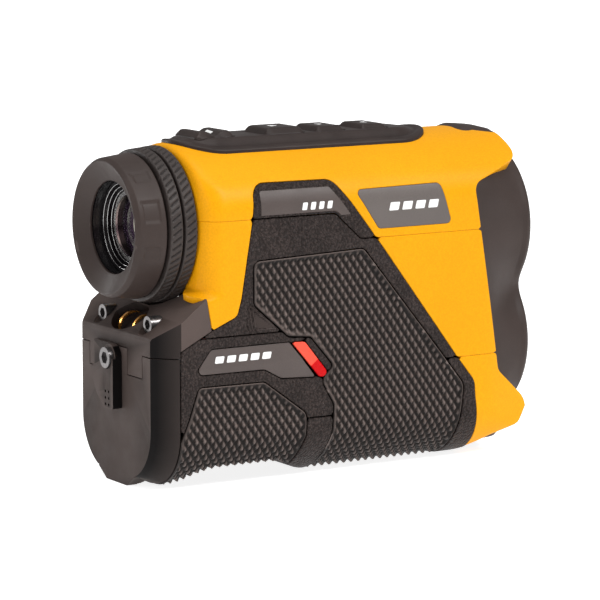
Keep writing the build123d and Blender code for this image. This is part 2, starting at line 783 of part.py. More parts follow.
def door_contact():
    """A sprung brass bridge that joins the two cells."""
    plate = box(DOOR_X + WALL, DOOR_X + WALL + 0.5, -14, 14, 12.0, 22.4)
    for y in (-CELL_Y, CELL_Y):
        plate = plate + x_cone(DOOR_X + WALL + 0.4, CELL_X[0] - 0.2, 4.4, 2.4, y, CELL_Z)
    return plate


def door_seal():
    outer = Pos(REAR_X, 0, 18.0) * extrude(Plane.YZ * RectangleRounded(38, 24, 6), amount=-1.2)
    inner = Pos(REAR_X + 1, 0, 18.0) * extrude(Plane.YZ * RectangleRounded(35.6, 21.6, 5), amount=-3)
    return outer - inner


LEVER = [
    (-3.6, 0.0, 0),
    (-3.6, -13.6, 0.8),
    (1.4, -13.6, 0.8),
    (5.4, -10.4, 3),
    (8.6, -5.2, 2),
    (8.6, -3.4, 0),
    (0.0, 0.0, 0),
]

LATCH_PLATE = [
    (0.0, -3.6, 0),
    (10.4, -3.6, 0.6),
    (10.4, 3.6, 0.6),
    (0.0, 3.6, 0),
]


def x_slab(points, x0, x1):
    """An outline in Y and Z about the latch's pivot, carried along X."""
    return Pos(x0, 0, LATCH_Z) * extrude(Plane.YZ * outline(points), amount=x1 - x0)


def door_latch():
    """A quarter-turn lever, hub and plate in one moulding."""
    latch = x_slab(LEVER, -60.9, LATCH_X) + x_slab(LATCH_PLATE, -59.1, LATCH_X)
    latch = latch + x_cylinder(-60.0, LATCH_X, LATCH_HUB_R, z=LATCH_Z)
    latch = latch - x_cylinder(-62, -58, 1.55, z=LATCH_Z)
    latch = latch - x_cylinder(-62, -60.0, 3.0, z=LATCH_Z)
    for row in range(3):
        for column in (0.5, -1.3):
            latch = latch - x_cylinder(-62, -60.6, 0.4, column, LATCH_Z - 9.1 - 1.75 * row)
    return latch


def latch_screw():
    screw = x_cylinder(EYECUP_REAR_X + 0.1, -60.0, 2.8, z=LATCH_Z)
    screw = screw + x_cylinder(-60.1, -54.6, 1.5, z=LATCH_Z)
    return screw - hex_socket(-62, -60.5, 3.0, 0, LATCH_Z)


# ------------------------------------------------------------------ batteries

def battery_holder():
    holder = box(*HOLDER_X, -HOLDER_HALF, HOLDER_HALF, *HOLDER_Z)
    for y in (-CELL_Y, CELL_Y):
        holder = holder - x_cylinder(-60, HOLDER_X[1] - 1.8, CELL_BORE_R, y, CELL_Z)
    return holder


def cell(y, nub_end):
    body = x_cylinder(*CELL_X, CELL_R, y, CELL_Z)
    if nub_end == "front":
        return body + x_cylinder(CELL_X[1], CELL_X[1] + 1.0, 2.7, y, CELL_Z)
    return body - x_tube(CELL_X[0] - 0.5, CELL_X[0] + 0.8, 9, 2.7, y, CELL_Z)


def cell_springs():
    seat = HOLDER_X[1] - 1.8
    return [
        x_cone(CELL_X[1] + 1.0, seat, 2.6, 5.4, -CELL_Y, CELL_Z),
        x_cone(CELL_X[1], seat, 2.6, 5.4, CELL_Y, CELL_Z),
    ]


# ------------------------------------------------------------------ inside

def optical_chassis():
    """An L-shaped plate: a floor under the prism and an upright behind the lens cells."""
    floor = box(*CHASSIS_X, -CHASSIS_HALF, CHASSIS_HALF, CHASSIS_Z, CHASSIS_Z + CHASSIS_THICKNESS)
    wall = box(CHASSIS_X[1] - 2.2, CHASSIS_X[1], -17, 17, 18, 80)
    chassis = floor + wall
    chassis = chassis - x_cylinder(20, 40, OBJECTIVE_R - 2.4, z=OBJECTIVE_Z)
    chassis = chassis - x_cylinder(20, 40, RECEIVER_R - 2.4, z=RECEIVER_Z)
    for x, y in CHASSIS_SCREWS:
        chassis = chassis - z_cylinder(40, 60, 1.1, x, y)
    return chassis


def chassis_screws():
    top = CHASSIS_Z + CHASSIS_THICKNESS
    return [
        z_cylinder(top, top + 1.6, 1.9, x, y) + z_cylinder(CHASSIS_Z - 5, top + 0.1, 0.9, x, y)
        for x, y in CHASSIS_SCREWS
    ]


def roof_prism():
    """The erecting prism, standing on the chassis in the light path."""
    floor = CHASSIS_Z + CHASSIS_THICKNESS
    return side_prism(
        [(-34.0, floor, 0), (-12.0, floor, 0), (-10.0, 60.0, 0), (-10.0, 74.0, 0), (-20.0, 81.0, 0), (-34.0, 81.0, 0)],
        -10.0, 10.0,
    )


def display_module():
    floor = CHASSIS_Z + CHASSIS_THICKNESS
    frame = box(-7.5, -4.5, -10, 10, floor, 78)
    return frame - x_cylinder(-10, 0, 7.0, z=65.5)


def laser_module():
    floor = CHASSIS_Z + CHASSIS_THICKNESS
    can = x_cylinder(4.0, 20.0, 4.5, 13.5, floor + 5.5)
    return can + box(6.0, 18.0, 10.0, 17.0, floor, floor + 4)


def receiver_module():
    back = CHASSIS_X[1] - 2.2
    return box(back - 6.0, back, -9, 9, RECEIVER_Z - 9, RECEIVER_Z + 9) + x_cylinder(back - 9, back - 5, 4, z=RECEIVER_Z)


def main_board():
    board = box(-38, 16, -19, 19, 32.0, 33.6)
    board = board + box(-30, -20, -12, -2, 33.5, 35.4) + box(-12, 2, -8, 8, 33.5, 34.8)
    return board + box(6, 14, 6, 16, 33.5, 38.0)


def keypad_board():
    return box(-38.0, 30.0, -8.8, 8.8, BOARD_TOP_Z - 1.2, BOARD_TOP_Z)


def button_centre(name):
    return (BUTTONS[name][0] + BUTTONS[name][1]) / 2


def dome_switches():
    return [
        z_cylinder(BOARD_TOP_Z, BOARD_TOP_Z + DOME_HEIGHT, 2.6, button_centre(name), 0)
        for name in BUTTONS
    ]


# ------------------------------------------------------------------ keypad

def button_hole(name, gap):
    x0, x1 = BUTTONS[name][:2]
    size = RectangleRounded(x1 - x0 + 2 * gap, 2 * (BUTTON_HALF + gap), BUTTON_CORNER + gap)
    return Pos(button_centre(name), 0, 80) * extrude(size, amount=20)


def keypad_surround():
    """The rubber frame: a rim on the crown and a flat island with the button holes."""
    skin = section_prism(-60, 60, KEYPAD_PROUD) - section_prism(-60, 60, -0.7)
    frame = stadium(*KEYPAD_X, KEYPAD_HALF, 60, 100) & skin
    island = stadium(*ISLAND_X, ISLAND_HALF, 87.5, ISLAND_TOP_Z)
    frame = frame + (island - section_prism(-60, 60, -0.7))
    for name in BUTTONS:
        frame = frame - button_hole(name, BUTTON_GAP)
    return frame


def button(name):
    """A cap with drawn-in sides over a stem that presses its dome."""
    x0, x1, top = BUTTONS[name]
    foot_z = BOARD_TOP_Z + DOME_HEIGHT + BUTTON_TRAVEL + 0.05
    size = RectangleRounded(x1 - x0, 2 * BUTTON_HALF, BUTTON_CORNER)
    cap = Pos(button_centre(name), 0, BUTTON_BASE_Z) * extrude(size, amount=top - BUTTON_BASE_Z)
    cap = chamfer(cap.faces().sort_by(Axis.Z)[-1].edges(), BUTTON_CHAMFER)
    return cap + z_cylinder(foot_z, BUTTON_BASE_Z + 0.1, BUTTON_STEM_R, button_centre(name), 0)


# ------------------------------------------------------------------ belly

def tripod_insert():
    body = z_cylinder(BELLY_Z, SOCKET_DEPTH + 1.2, SOCKET_BODY_R, SOCKET_X, 0)
    return body - z_cylinder(-5, BELLY_Z + SOCKET_DEPTH, SOCKET_BORE_R, SOCKET_X, 0)


# ------------------------------------------------------------------ assembly

def build_all():
    bezel = bezel_loft()
    pieces = {}
    pieces.update(shells(bezel))
    pieces.update(grips())
    pieces.update(pads())
    pieces["front_bezel"] = front_bezel(bezel)
    pieces["objective_cell"] = lens_cell(OBJECTIVE_Z, OBJECTIVE_R, CHASSIS_X[1])
    pieces["objective_lens"] = lens(OBJECTIVE_Z, OBJECTIVE_R)
    pieces["receiver_cell"] = lens_cell(RECEIVER_Z, RECEIVER_R, CHASSIS_X[1])
    pieces["receiver_lens"] = lens(RECEIVER_Z, RECEIVER_R)
    pieces["eyepiece_tube"] = eyepiece_tube()
    pieces["eyecup"] = eyecup()
    pieces["eyecup_ring"] = eyecup_ring()
    pieces["diopter_ring"] = diopter_ring()
    pieces["ocular_cell"] = ocular_cell()
    pieces["ocular_lens"] = ocular_lens()
    pieces["ocular_ring"] = ocular_ring()
    pieces["rear_block"] = rear_block()
    pieces["block_screws"] = block_screws()
    pieces["contact_leaves"] = contact_leaves()
    pieces["battery_door"] = battery_door()
    pieces["door_contact"] = door_contact()
    pieces["door_seal"] = door_seal()
    pieces["hinge_pin"] = hinge_pin()
    pieces["door_latch"] = door_latch()
    pieces["latch_screw"] = latch_screw()
    pieces["battery_holder"] = battery_holder()
    pieces["cell_right"] = cell(-CELL_Y, "front")
    pieces["cell_left"] = cell(CELL_Y, "rear")
    pieces["cell_springs"] = cell_springs()
    pieces["optical_chassis"] = optical_chassis()
    pieces["chassis_screws"] = chassis_screws()
    pieces["roof_prism"] = roof_prism()
    pieces["display_module"] = display_module()
    pieces["laser_module"] = laser_module()
    pieces["receiver_module"] = receiver_module()
    pieces["main_board"] = main_board()
    pieces["keypad_board"] = keypad_board()
    pieces["dome_switches"] = dome_switches()
    pieces["keypad_surround"] = keypad_surround()
    for name in BUTTONS:
        pieces[name] = button(name)
    pieces["tripod_insert"] = tripod_insert()
    return pieces


os.makedirs("parts", exist_ok=True)
for node, shape in build_all().items():
    solids = shape if isinstance(shape, list) else [shape]
    export_step(Compound(children=[s for piece in solids for s in piece.solids()]), f"parts/{node}.step")
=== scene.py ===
"""Looks for a handheld laser rangefinder: detailed meshes and procedural materials around its CAD frame.

Lengths in this file are millimetres, in the CAD model's own frame: +X forward, +Y left, +Z up.
They become metres where a mesh is made.
"""

import json
import math

import bmesh
import bpy
import numpy as np
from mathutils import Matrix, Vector


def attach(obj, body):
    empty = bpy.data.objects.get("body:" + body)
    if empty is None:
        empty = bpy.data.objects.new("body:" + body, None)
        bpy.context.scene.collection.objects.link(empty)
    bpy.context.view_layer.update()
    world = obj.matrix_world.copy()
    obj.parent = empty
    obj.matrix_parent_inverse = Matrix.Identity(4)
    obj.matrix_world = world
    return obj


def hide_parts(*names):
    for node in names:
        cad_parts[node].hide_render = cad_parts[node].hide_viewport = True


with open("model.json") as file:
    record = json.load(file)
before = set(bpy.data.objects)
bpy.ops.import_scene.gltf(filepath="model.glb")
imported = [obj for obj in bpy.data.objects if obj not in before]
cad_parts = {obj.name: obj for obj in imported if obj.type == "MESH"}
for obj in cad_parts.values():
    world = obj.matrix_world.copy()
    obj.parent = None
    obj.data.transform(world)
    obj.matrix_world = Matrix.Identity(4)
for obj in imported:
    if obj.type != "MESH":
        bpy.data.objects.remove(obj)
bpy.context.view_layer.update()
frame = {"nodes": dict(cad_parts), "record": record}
nodes = frame["nodes"]
MM = 0.001

# --- driving values, as in the CAD model ---

HALF_WIDTH = 25.0
CROWN_RADIUS = 30.0
CROWN_CENTRE_Z = 60.3
TOP_CORNER = 14.0
BOTTOM_CORNER = 16.0
BELLY_Z = 0.4
REAR_X = -52.0
SHELL_REAR_X = -44.2
SHOULDER_RADIUS = 6.5
SHOULDER_Z = 51.6
BEZEL_FRONT_X = 61.5
BEZEL_MIDDLE_Z = 46.0
EYE_Z = 68.7
KEYPAD_X = (-42.0, 37.5)
KEYPAD_HALF = 12.0
PAD_INNER_Y = 6.0
TRIPOD_X = 14.0
TRIPOD_HOLE = 5.6
TAPER_X = 45.0
TAPER_SOFT = 1.6
TAPER_SLOPE = 0.2215
# In a field, a cut that doesn't reach that far.
NO_CUT = -9.0

# Where the section's straight flank ends, above and below, and how long its curved stretches are.
CORNER_Y = HALF_WIDTH - TOP_CORNER
CORNER_Z = CROWN_CENTRE_Z + math.sqrt((CROWN_RADIUS - TOP_CORNER) ** 2 - CORNER_Y**2)
CORNER_ANGLE = math.atan2(CORNER_Z - CROWN_CENTRE_Z, CORNER_Y)
CORNER_LENGTH = TOP_CORNER * CORNER_ANGLE
CROWN_LENGTH = CROWN_RADIUS * (math.pi / 2 - CORNER_ANGLE)
FLANK_LOW = BELLY_Z + BOTTOM_CORNER
BELLY_ARC = BOTTOM_CORNER * math.pi / 2
TOP_END = CORNER_Z + CORNER_LENGTH + CROWN_LENGTH
BELLY_END = FLANK_LOW - BELLY_ARC - (HALF_WIDTH - BOTTOM_CORNER)
SHOULDER_X = SHELL_REAR_X + SHOULDER_RADIUS
SHOULDER_ARC = SHOULDER_RADIUS * math.pi / 2

# --- outlines: (x, z, corner radius) ---

GRIP = [
    (REAR_X, -5.0, 0), (44.2, -5.0, 0), (41.0, 17.9, 4), (40.7, 22.2, 4), (35.1, 29.1, 4), (11.1, 60.7, 4),
    (-4.6, 80.5, 4), (-29.0, 80.7, 4), (-30.4, 69.8, 4), (-33.6, 50.6, 3), (-34.9, 46.1, 2),
    (-42.6, 42.9, 0), (REAR_X, 38.0, 0),
]
MAIN_PAD = [
    (-29.9, 60.2, 2), (4.4, 61.4, 2), (29.9, 30.6, 3), (37.2, 21.5, 4), (35.3, 5.0, 3), (34.5, -5.0, 0),
    (-9.0, -5.0, 0), (-5.2, 12.0, 3), (-4.9, 20.0, 3), (-8.8, 26.7, 2), (-5.0, 30.5, 1.5), (-12.3, 38.9, 1.5),
    (-19.3, 39.6, 2), (-29.8, 48.8, 2),
]
REAR_PAD = [
    (-46.6, 28.0, 1.5), (-26.7, 27.8, 2), (-13.6, 18.2, 3), (-13.6, 12.0, 3), (-18.5, -5.0, 0),
    (-60.0, -5.0, 0), (-49.4, 20.0, 3),
]
BADGE = [
    (-46.9, 33.0, 1.2), (-43.0, 38.0, 1.6), (-19.0, 38.0, 0.4), (-10.4, 27.8, 0.4), (-21.4, 28.4, 2),
    (-26.7, 31.3, 3), (-46.4, 31.4, 1.4),
]
ACCENT = [(-18.4, 38.0, 0.4), (-14.2, 37.8, 1), (-6.9, 28.9, 1), (-8.2, 27.7, 0.6), (-9.6, 27.8, 0.4)]
NAME_PLATE = [(1.8, 77.4, 1.2), (29.4, 77.8, 1.6), (32.9, 66.5, 1.2), (9.2, 66.5, 1.4)]
LABEL_PANEL = [(-27.6, 79.0, 1.0), (-5.6, 79.0, 1.4), (2.9, 68.2, 1.4), (3.2, 66.6, 0.6), (-27.9, 66.6, 0.8)]
FOLD = [(-31.6, 49.4, 0.4), (-29.9, 48.0, 0.3), (-22.6, 41.9, 0.4), (-32.4, 41.9, 0.8)]
STRIP_SEAM = ((-14.0, -4.0), 16.9)
UPPER_EDGE = [(-90, 71.5, 0), (-4.4, 71.5, 2), (3.4, 64.2, 2), (99, 64.2, 0), (99, 150, 0), (-90, 150, 0)]
LOWER_EDGE = [
    (-90, 41.0, 0), (-20.0, 41.0, 2), (-10.0, 40.0, 2), (-2.5, 29.3, 2), (99, 29.3, 0), (99, -60, 0),
    (-90, -60, 0),
]
FRONT_SIDE = [(40.6, 76.6, 3), (53.5, 81.4, 2), (99, 98.3, 0), (99, -17, 0), (57.5, 17.3, 3), (49.3, 24.3, 3)]
FRONT_CROWN = [
    (99, -16, 0), (57.7, -9.4, 1.5), (54.0, -7.9, 5), (50.6, -6.0, 2), (48.9, -1.6, 1.5), (48.9, 1.6, 1.5),
    (50.6, 6.0, 2), (54.0, 7.9, 5), (57.7, 9.4, 1.5), (99, 16, 0),
]
FRONT_BELLY = [
    (99, -34, 0), (58.0, -15.5, 6), (50.0, -12.0, 6), (42.3, -4.0, 5), (42.3, 4.0, 5), (50.0, 12.0, 6),
    (58.0, 15.5, 6), (99, 34, 0),
]
UPPER_HORN_X = 57.8
LOWER_HORN_X = 60.4
BELLY_PROFILE = [
    (-90, 0.4, 0), (-50.0, 0.4, 2), (-42.0, 5.4, 12), (-20.0, 5.4, 12), (-8.0, 0.4, 10), (41.0, 0.4, 8),
    (49.0, 5.4, 6), (57.5, 8.4, 4), (60.8, 14.0, 3), (62.5, 40, 0),
]


# --- shapes in a plane ---

def rounded(points, closed=True):
    """The outline's line, with each corner turned into an arc."""
    line = []
    count = len(points)
    for i, (x, y, radius) in enumerate(points):
        if not closed and i in (0, count - 1) or radius == 0:
            line.append((x, y))
            continue
        corner = np.array((x, y), float)
        back = np.array(points[i - 1][:2], float) - corner
        ahead = np.array(points[(i + 1) % count][:2], float) - corner
        back, ahead = back / np.linalg.norm(back), ahead / np.linalg.norm(ahead)
        half = math.acos(np.clip(back @ ahead, -1, 1)) / 2
        middle = (back + ahead) / np.linalg.norm(back + ahead)
        centre = corner + middle * radius / math.sin(half)
        start, end = corner + back * radius / math.tan(half), corner + ahead * radius / math.tan(half)
        first = math.atan2(*(start - centre)[::-1])
        turn = (math.atan2(*(end - centre)[::-1]) - first + math.pi) % (2 * math.pi) - math.pi
        steps = max(3, int(abs(turn) / 0.18))
        line += [tuple(centre + radius * np.array((math.cos(a), math.sin(a))))
                 for a in first + turn * np.linspace(0, 1, steps + 1)]
    return np.array(line)


def distance(points, x, y):
    """Signed distance to a rounded outline: negative inside."""
    line = rounded(points)
    nearest = np.full(np.shape(x), 1e9)
    inside = np.zeros(np.shape(x), bool)
    for (x0, y0), (x1, y1) in zip(line, np.roll(line, -1, axis=0)):
        dx, dy = x1 - x0, y1 - y0
        length = dx * dx + dy * dy
        if length < 1e-12:
            continue
        t = np.clip(((x - x0) * dx + (y - y0) * dy) / length, 0, 1)
        nearest = np.minimum(nearest, (x - x0 - t * dx) ** 2 + (y - y0 - t * dy) ** 2)
        if dy:
            inside ^= ((y0 > y) != (y1 > y)) & (x < x0 + dx * (y - y0) / dy)
    return np.where(inside, -1, 1) * np.sqrt(nearest)


def circle(radius, x, y, x0=0.0, y0=0.0):
    return np.hypot(x - x0, y - y0) - radius


def rectangle(x0, x1, y0, y1, radius, x, y):
    dx = np.abs(x - (x0 + x1) / 2) - (x1 - x0) / 2 + radius
    dy = np.abs(y - (y0 + y1) / 2) - (y1 - y0) / 2 + radius
    return np.hypot(np.maximum(dx, 0), np.maximum(dy, 0)) + np.minimum(np.maximum(dx, dy), 0) - radius


def least(a, b, soft):
    """The smaller of two values, with a rounded change-over."""
    mix = np.clip(0.5 + (b - a) / (2 * soft), 0, 1)
    return b + (a - b) * mix - soft * mix * (1 - mix)


def most(a, b, soft):
    return -least(-np.asarray(a), -np.asarray(b), soft)


def ease(low, high, value):
    t = np.clip((value - low) / (high - low), 0, 1)
    return t * t * (3 - 2 * t)


# --- the housing's surface ---

belly_line = rounded(BELLY_PROFILE, closed=False)


def section(run):
    """The housing's section at Y below 0: run is Z on the flank, and goes on as length along the curves."""
    up = np.clip((run - CORNER_Z) / TOP_CORNER, 0, CORNER_ANGLE)
    over = np.clip((run - CORNER_Z - CORNER_LENGTH) / CROWN_RADIUS, 0, None)
    down = np.clip((FLANK_LOW - run) / BOTTOM_CORNER, 0, math.pi / 2)
    flat = np.clip(FLANK_LOW - BELLY_ARC - run, 0, None)
    lean = up + over
    y = -CORNER_Y - TOP_CORNER * np.cos(up)
    z = CORNER_Z + TOP_CORNER * np.sin(up)
    crown = over > 0
    y = np.where(crown, -CROWN_RADIUS * np.cos(lean), y)
    z = np.where(crown, CROWN_CENTRE_Z + CROWN_RADIUS * np.sin(lean), z)
    low = run < CORNER_Z
    y = np.where(low, -(HALF_WIDTH - BOTTOM_CORNER) - BOTTOM_CORNER * np.cos(down) + flat, y)
    z = np.where(low, np.maximum(run, FLANK_LOW) - BOTTOM_CORNER * np.sin(down), z)
    lean = np.where(low, -down, lean)
    return y, z, -np.cos(lean), np.sin(lean)


def surface_point(along, run):
    """A point on the housing. along is X; behind the shoulder it goes on round it and over the rear face."""
    y, z, out_y, out_z = section(run)
    behind = np.maximum(SHOULDER_X - along, 0)
    turn = np.minimum(behind / SHOULDER_RADIUS, math.pi / 2)
    power = 2 + 4 * ease(78, 90, run)
    sine, cosine = np.sin(turn), np.cos(turn)
    reach = SHOULDER_RADIUS * (sine**power + np.maximum(cosine, 1e-9) ** power) ** (-1 / power)
    shoulder = ease(SHOULDER_Z - 1.0, SHOULDER_Z + 1.5, run) * (behind > 0)
    x = along + (SHOULDER_X - reach * sine - along) * shoulder
    inward = (SHOULDER_RADIUS - reach * cosine + np.maximum(behind - SHOULDER_ARC, 0)) * shoulder
    y, z = y - out_y * inward, z - out_z * inward
    narrow = TAPER_SLOPE * TAPER_SOFT * np.logaddexp(0, (x - TAPER_X) / TAPER_SOFT)
    y = -least(-y, HALF_WIDTH - narrow, 0.6)
    z = most(z, np.interp(x, *belly_line.T), 0.8)
    return np.stack([x, y, z], -1)


def surface_xyz(along, run):
    """The same point as three arrays."""
    return np.moveaxis(surface_point(along, run), -1, 0)


def housing_place(along, run, height):
    """A point a height above the housing's surface."""
    step = 0.04
    ahead = surface_point(along + step, run) - surface_point(along - step, run)
    upward = surface_point(along, run + step) - surface_point(along, run - step)
    normal = np.cross(ahead, upward)
    normal /= np.maximum(np.linalg.norm(normal, axis=-1, keepdims=True), 1e-12)
    return surface_point(along, run) + normal * np.asarray(height)[..., None]


# --- cutting a sheet out of a grid ---

def cut_grid(field, us, vs):
    """Faces where the field is below 0 on a grid, by marching squares: (u, v) corners, faces, rim edges."""
    grid_u, grid_v = np.meshgrid(us, vs, indexing="ij")
    value = field(grid_u, grid_v)
    keep = value < 0
    index = -np.ones(keep.shape, int)
    index[keep] = np.arange(keep.sum())
    corners = list(zip(grid_u[keep], grid_v[keep]))
    crossings = {}

    def crossing(a, b):
        key = (a, b) if a < b else (b, a)
        if key not in crossings:
            t = value[key[0]] / (value[key[0]] - value[key[1]])
            t = min(max(t, 0.02), 0.98)
            crossings[key] = len(corners)
            corners.append((grid_u[key[0]] * (1 - t) + grid_u[key[1]] * t,
                            grid_v[key[0]] * (1 - t) + grid_v[key[1]] * t))
        return crossings[key]

    count = keep[:-1, :-1].astype(int) + keep[1:, :-1] + keep[1:, 1:] + keep[:-1, 1:]
    i, j = np.nonzero(count == 4)
    faces = np.stack([index[i, j], index[i + 1, j], index[i + 1, j + 1], index[i, j + 1]], 1).tolist()
    for i, j in zip(*np.nonzero((count > 0) & (count < 4))):
        ring = [(i, j), (i + 1, j), (i + 1, j + 1), (i, j + 1)]
        face = []
        for a, b in zip(ring, ring[1:] + ring[:1]):
            if keep[a]:
                face.append(int(index[a]))
            if keep[a] != keep[b]:
                face.append(crossing(a, b))
        if len(face) > 2:
            faces.append(face)
    seen = {}
    for face in faces:
        for a, b in zip(face, face[1:] + face[:1]):
            key = (min(a, b), max(a, b))
            seen[key] = None if key in seen else (a, b)
    rim = [edge for edge in seen.values() if edge]
    return np.array(corners), faces, rim


def rim_normals(field, rim, points):
    """The direction in (u, v) that leaves the sheet at each rim corner."""
    step = 0.05
    u, v = points[rim].T
    slope = np.stack([field(u + step, v) - field(u - step, v), field(u, v + step) - field(u, v - step)], 1)
    return slope / np.maximum(np.linalg.norm(slope, axis=1, keepdims=True), 1e-9)


def sheet_mesh(field, us, vs, place, top, edge=0.35, depth=0.8, closed=True, centre=(), rows=None, steps=4):
    """A sheet with a rounded rim and an upright skirt.

    top(u, v) is its height, place(u, v, height) its place in space, edge the rim's radius and depth how far
    down the skirt goes. centre lists values of v where the piece meets its own mirror image: no rim there.
    rows, where given, makes the skirt's rows instead: rows(u, v) gives a list of arrays of points.
    """
    inner = lambda u, v: field(u, v) + edge
    points, faces, rim = cut_grid(inner, us, vs)
    on_centre = np.zeros(len(points), bool)
    for value in centre:
        on_centre |= np.abs(points[:, 1] - value) < 1e-6
    rim = [(a, b) for a, b in rim if not (on_centre[a] and on_centre[b])]
    ends = sorted({a for pair in rim for a in pair})
    order = {a: k for k, a in enumerate(ends)}
    out = rim_normals(inner, ends, points)
    base_u, base_v = points[ends].T
    height = top(base_u, base_v)
    down = np.broadcast_to(depth(base_u, base_v) if callable(depth) else depth, base_u.shape)
    vertices = [place(points[:, 0], points[:, 1], top(points[:, 0], points[:, 1]))]
    ring_start = len(points)
    held = on_centre[ends]

    def pushed(amount):
        u = base_u + out[:, 0] * amount
        v = np.where(held, base_v, base_v + out[:, 1] * amount)
        return np.clip(u, us[0] - 5, us[-1] + 5), np.clip(v, vs[0], vs[-1]) if centre else v

    rings = []
    for k in range(1, steps + 1):
        angle = math.pi / 2 * k / steps
        u, v = pushed(edge * math.sin(angle))
        rings.append(place(u, v, height - edge * (1 - math.cos(angle))))
    u, v = pushed(edge)
    if rows:
        rings += rows(u, v)
    else:
        rings.append(place(u, v, -down))
    count = len(ends)
    previous = np.array(ends)
    for k, ring in enumerate(rings):
        vertices.append(ring)
        current = ring_start + k * count + np.arange(count)
        faces += [[previous[order[b]], previous[order[a]], current[order[a]], current[order[b]]]
                  for a, b in rim]
        previous = current
    if closed and not rows:
        total = ring_start + len(rings) * count
        grid_down = depth(*points.T) if callable(depth) else depth
        vertices.append(place(points[:, 0], points[:, 1], np.broadcast_to(-grid_down, len(points))))
        faces += [[total + a for a in reversed(face)] for face in faces[:ring_faces(faces, ring_start)]]
        faces += [[previous[order[b]], previous[order[a]], total + a, total + b] for a, b in rim]
    return np.concatenate(vertices), faces


def ring_faces(faces, limit):
    """How many of the first faces belong to the sheet itself."""
    for k, face in enumerate(faces):
        if max(face) >= limit:
            return k
    return len(faces)


# --- making pieces ---

def placed(name, data):
    """A new object in the scene."""
    made = bpy.data.objects.new(name, data)
    bpy.context.scene.collection.objects.link(made)
    return made


def make_piece(name, vertices, faces, material, body, replaced=(), mirror=False, weld=False):
    """A mesh object from millimetre vertices, riding on its body and standing for its CAD nodes."""
    vertices = np.array(vertices, float)
    faces = [[int(a) for a in face] for face in faces]
    if mirror:
        vertices = vertices * (1, -1, 1)
        faces = [face[::-1] for face in faces]
    if weld:
        other = vertices * (1, -1, 1)
        middle = np.abs(vertices[:, 1]) < 1e-4
        target = np.arange(len(vertices)) + len(vertices)
        target[middle] = np.nonzero(middle)[0]
        faces = faces + [[int(target[a]) for a in face[::-1]] for face in faces]
        vertices = np.concatenate([vertices, other])
    mesh = bpy.data.meshes.new(name)
    mesh.from_pydata((vertices * MM).tolist(), [], faces)
    mesh.validate()
    if weld:
        drop_loose(mesh)
    mesh.materials.append(material)
    mesh.polygons.foreach_set("use_smooth", [True] * len(mesh.polygons))
    mesh.update()
    piece = placed(name, mesh)
    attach(piece, body)
    if replaced:
        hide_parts(*replaced)
    return piece


def drop_loose(mesh):
    """Removes the vertices that no face uses."""
    work = bmesh.new()
    work.from_mesh(mesh)
    bmesh.ops.delete(work, geom=[v for v in work.verts if not v.link_faces], context="VERTS")
    work.to_mesh(mesh)
    work.free()


def flat_top(height):
    return lambda u, v: np.full(np.shape(u), float(height))


def both_sides(name, vertices, faces, material, node=None):
    """The right-hand piece and its mirror image, each standing for its own CAD node."""
    for side, mirror in (("right", False), ("left", True)):
        replaced = [f"{node}_{side}"] if node else []
        make_piece(f"{name}_{side}", vertices, faces, material, "housing", replaced, mirror)


# --- materials ---

FINISHES = {}


def new_material(name):
    """A material under its name in FINISHES, with its nodes and its surface shader."""
    material = bpy.data.materials.new(name)
    material.use_nodes = True
    FINISHES[name] = material
    return material, material.node_tree, material.node_tree.nodes["Principled BSDF"]


def node(tree, kind, **inputs):
    made = tree.nodes.new(kind)
    for key, value in inputs.items():
        made.inputs[key.replace("_", " ")].default_value = value
    return made


def noise(tree, coordinates, size, detail=3.0):
    """A noise texture whose features are about size millimetres across."""
    texture = node(tree, "ShaderNodeTexNoise", Scale=1 / (size * MM), Detail=detail)
    tree.links.new(coordinates, texture.inputs["Vector"])
    return texture.outputs["Fac"]


def remap(tree, source, low, high, start, end):
    """A value from low to high, carried over to start to end."""
    made = node(tree, "ShaderNodeMapRange", From_Min=low, From_Max=high, To_Min=start, To_Max=end)
    tree.links.new(source, made.inputs["Value"])
    return made.outputs["Result"]


def ramped(tree, source, low, high, first, second):
    """From one colour to another as the source goes from low to high."""
    ramp = node(tree, "ShaderNodeValToRGB")
    for stop, position, colour in zip(ramp.color_ramp.elements, (low, high), (first, second)):
        stop.position = position
        stop.color = [*colour, 1]
    tree.links.new(source, ramp.inputs["Fac"])
    return ramp.outputs["Color"]


def length_along(tree, vector, way):
    dot = node(tree, "ShaderNodeVectorMath")
    dot.operation = "DOT_PRODUCT"
    dot.inputs[1].default_value = way
    tree.links.new(vector, dot.inputs[0])
    return dot.outputs["Value"]


def blended(tree, factor, tint, colour):
    """tint, going over to a plain colour as factor rises to 1."""
    mix = node(tree, "ShaderNodeMix")
    mix.data_type = "RGBA"
    mix.inputs["B"].default_value = [*colour, 1]
    tree.links.new(factor, mix.inputs["Factor"])
    tree.links.new(tint, mix.inputs["A"])
    return mix.outputs["Result"]


SPECKLE = 0.35
BUMP_STRENGTH = 0.6


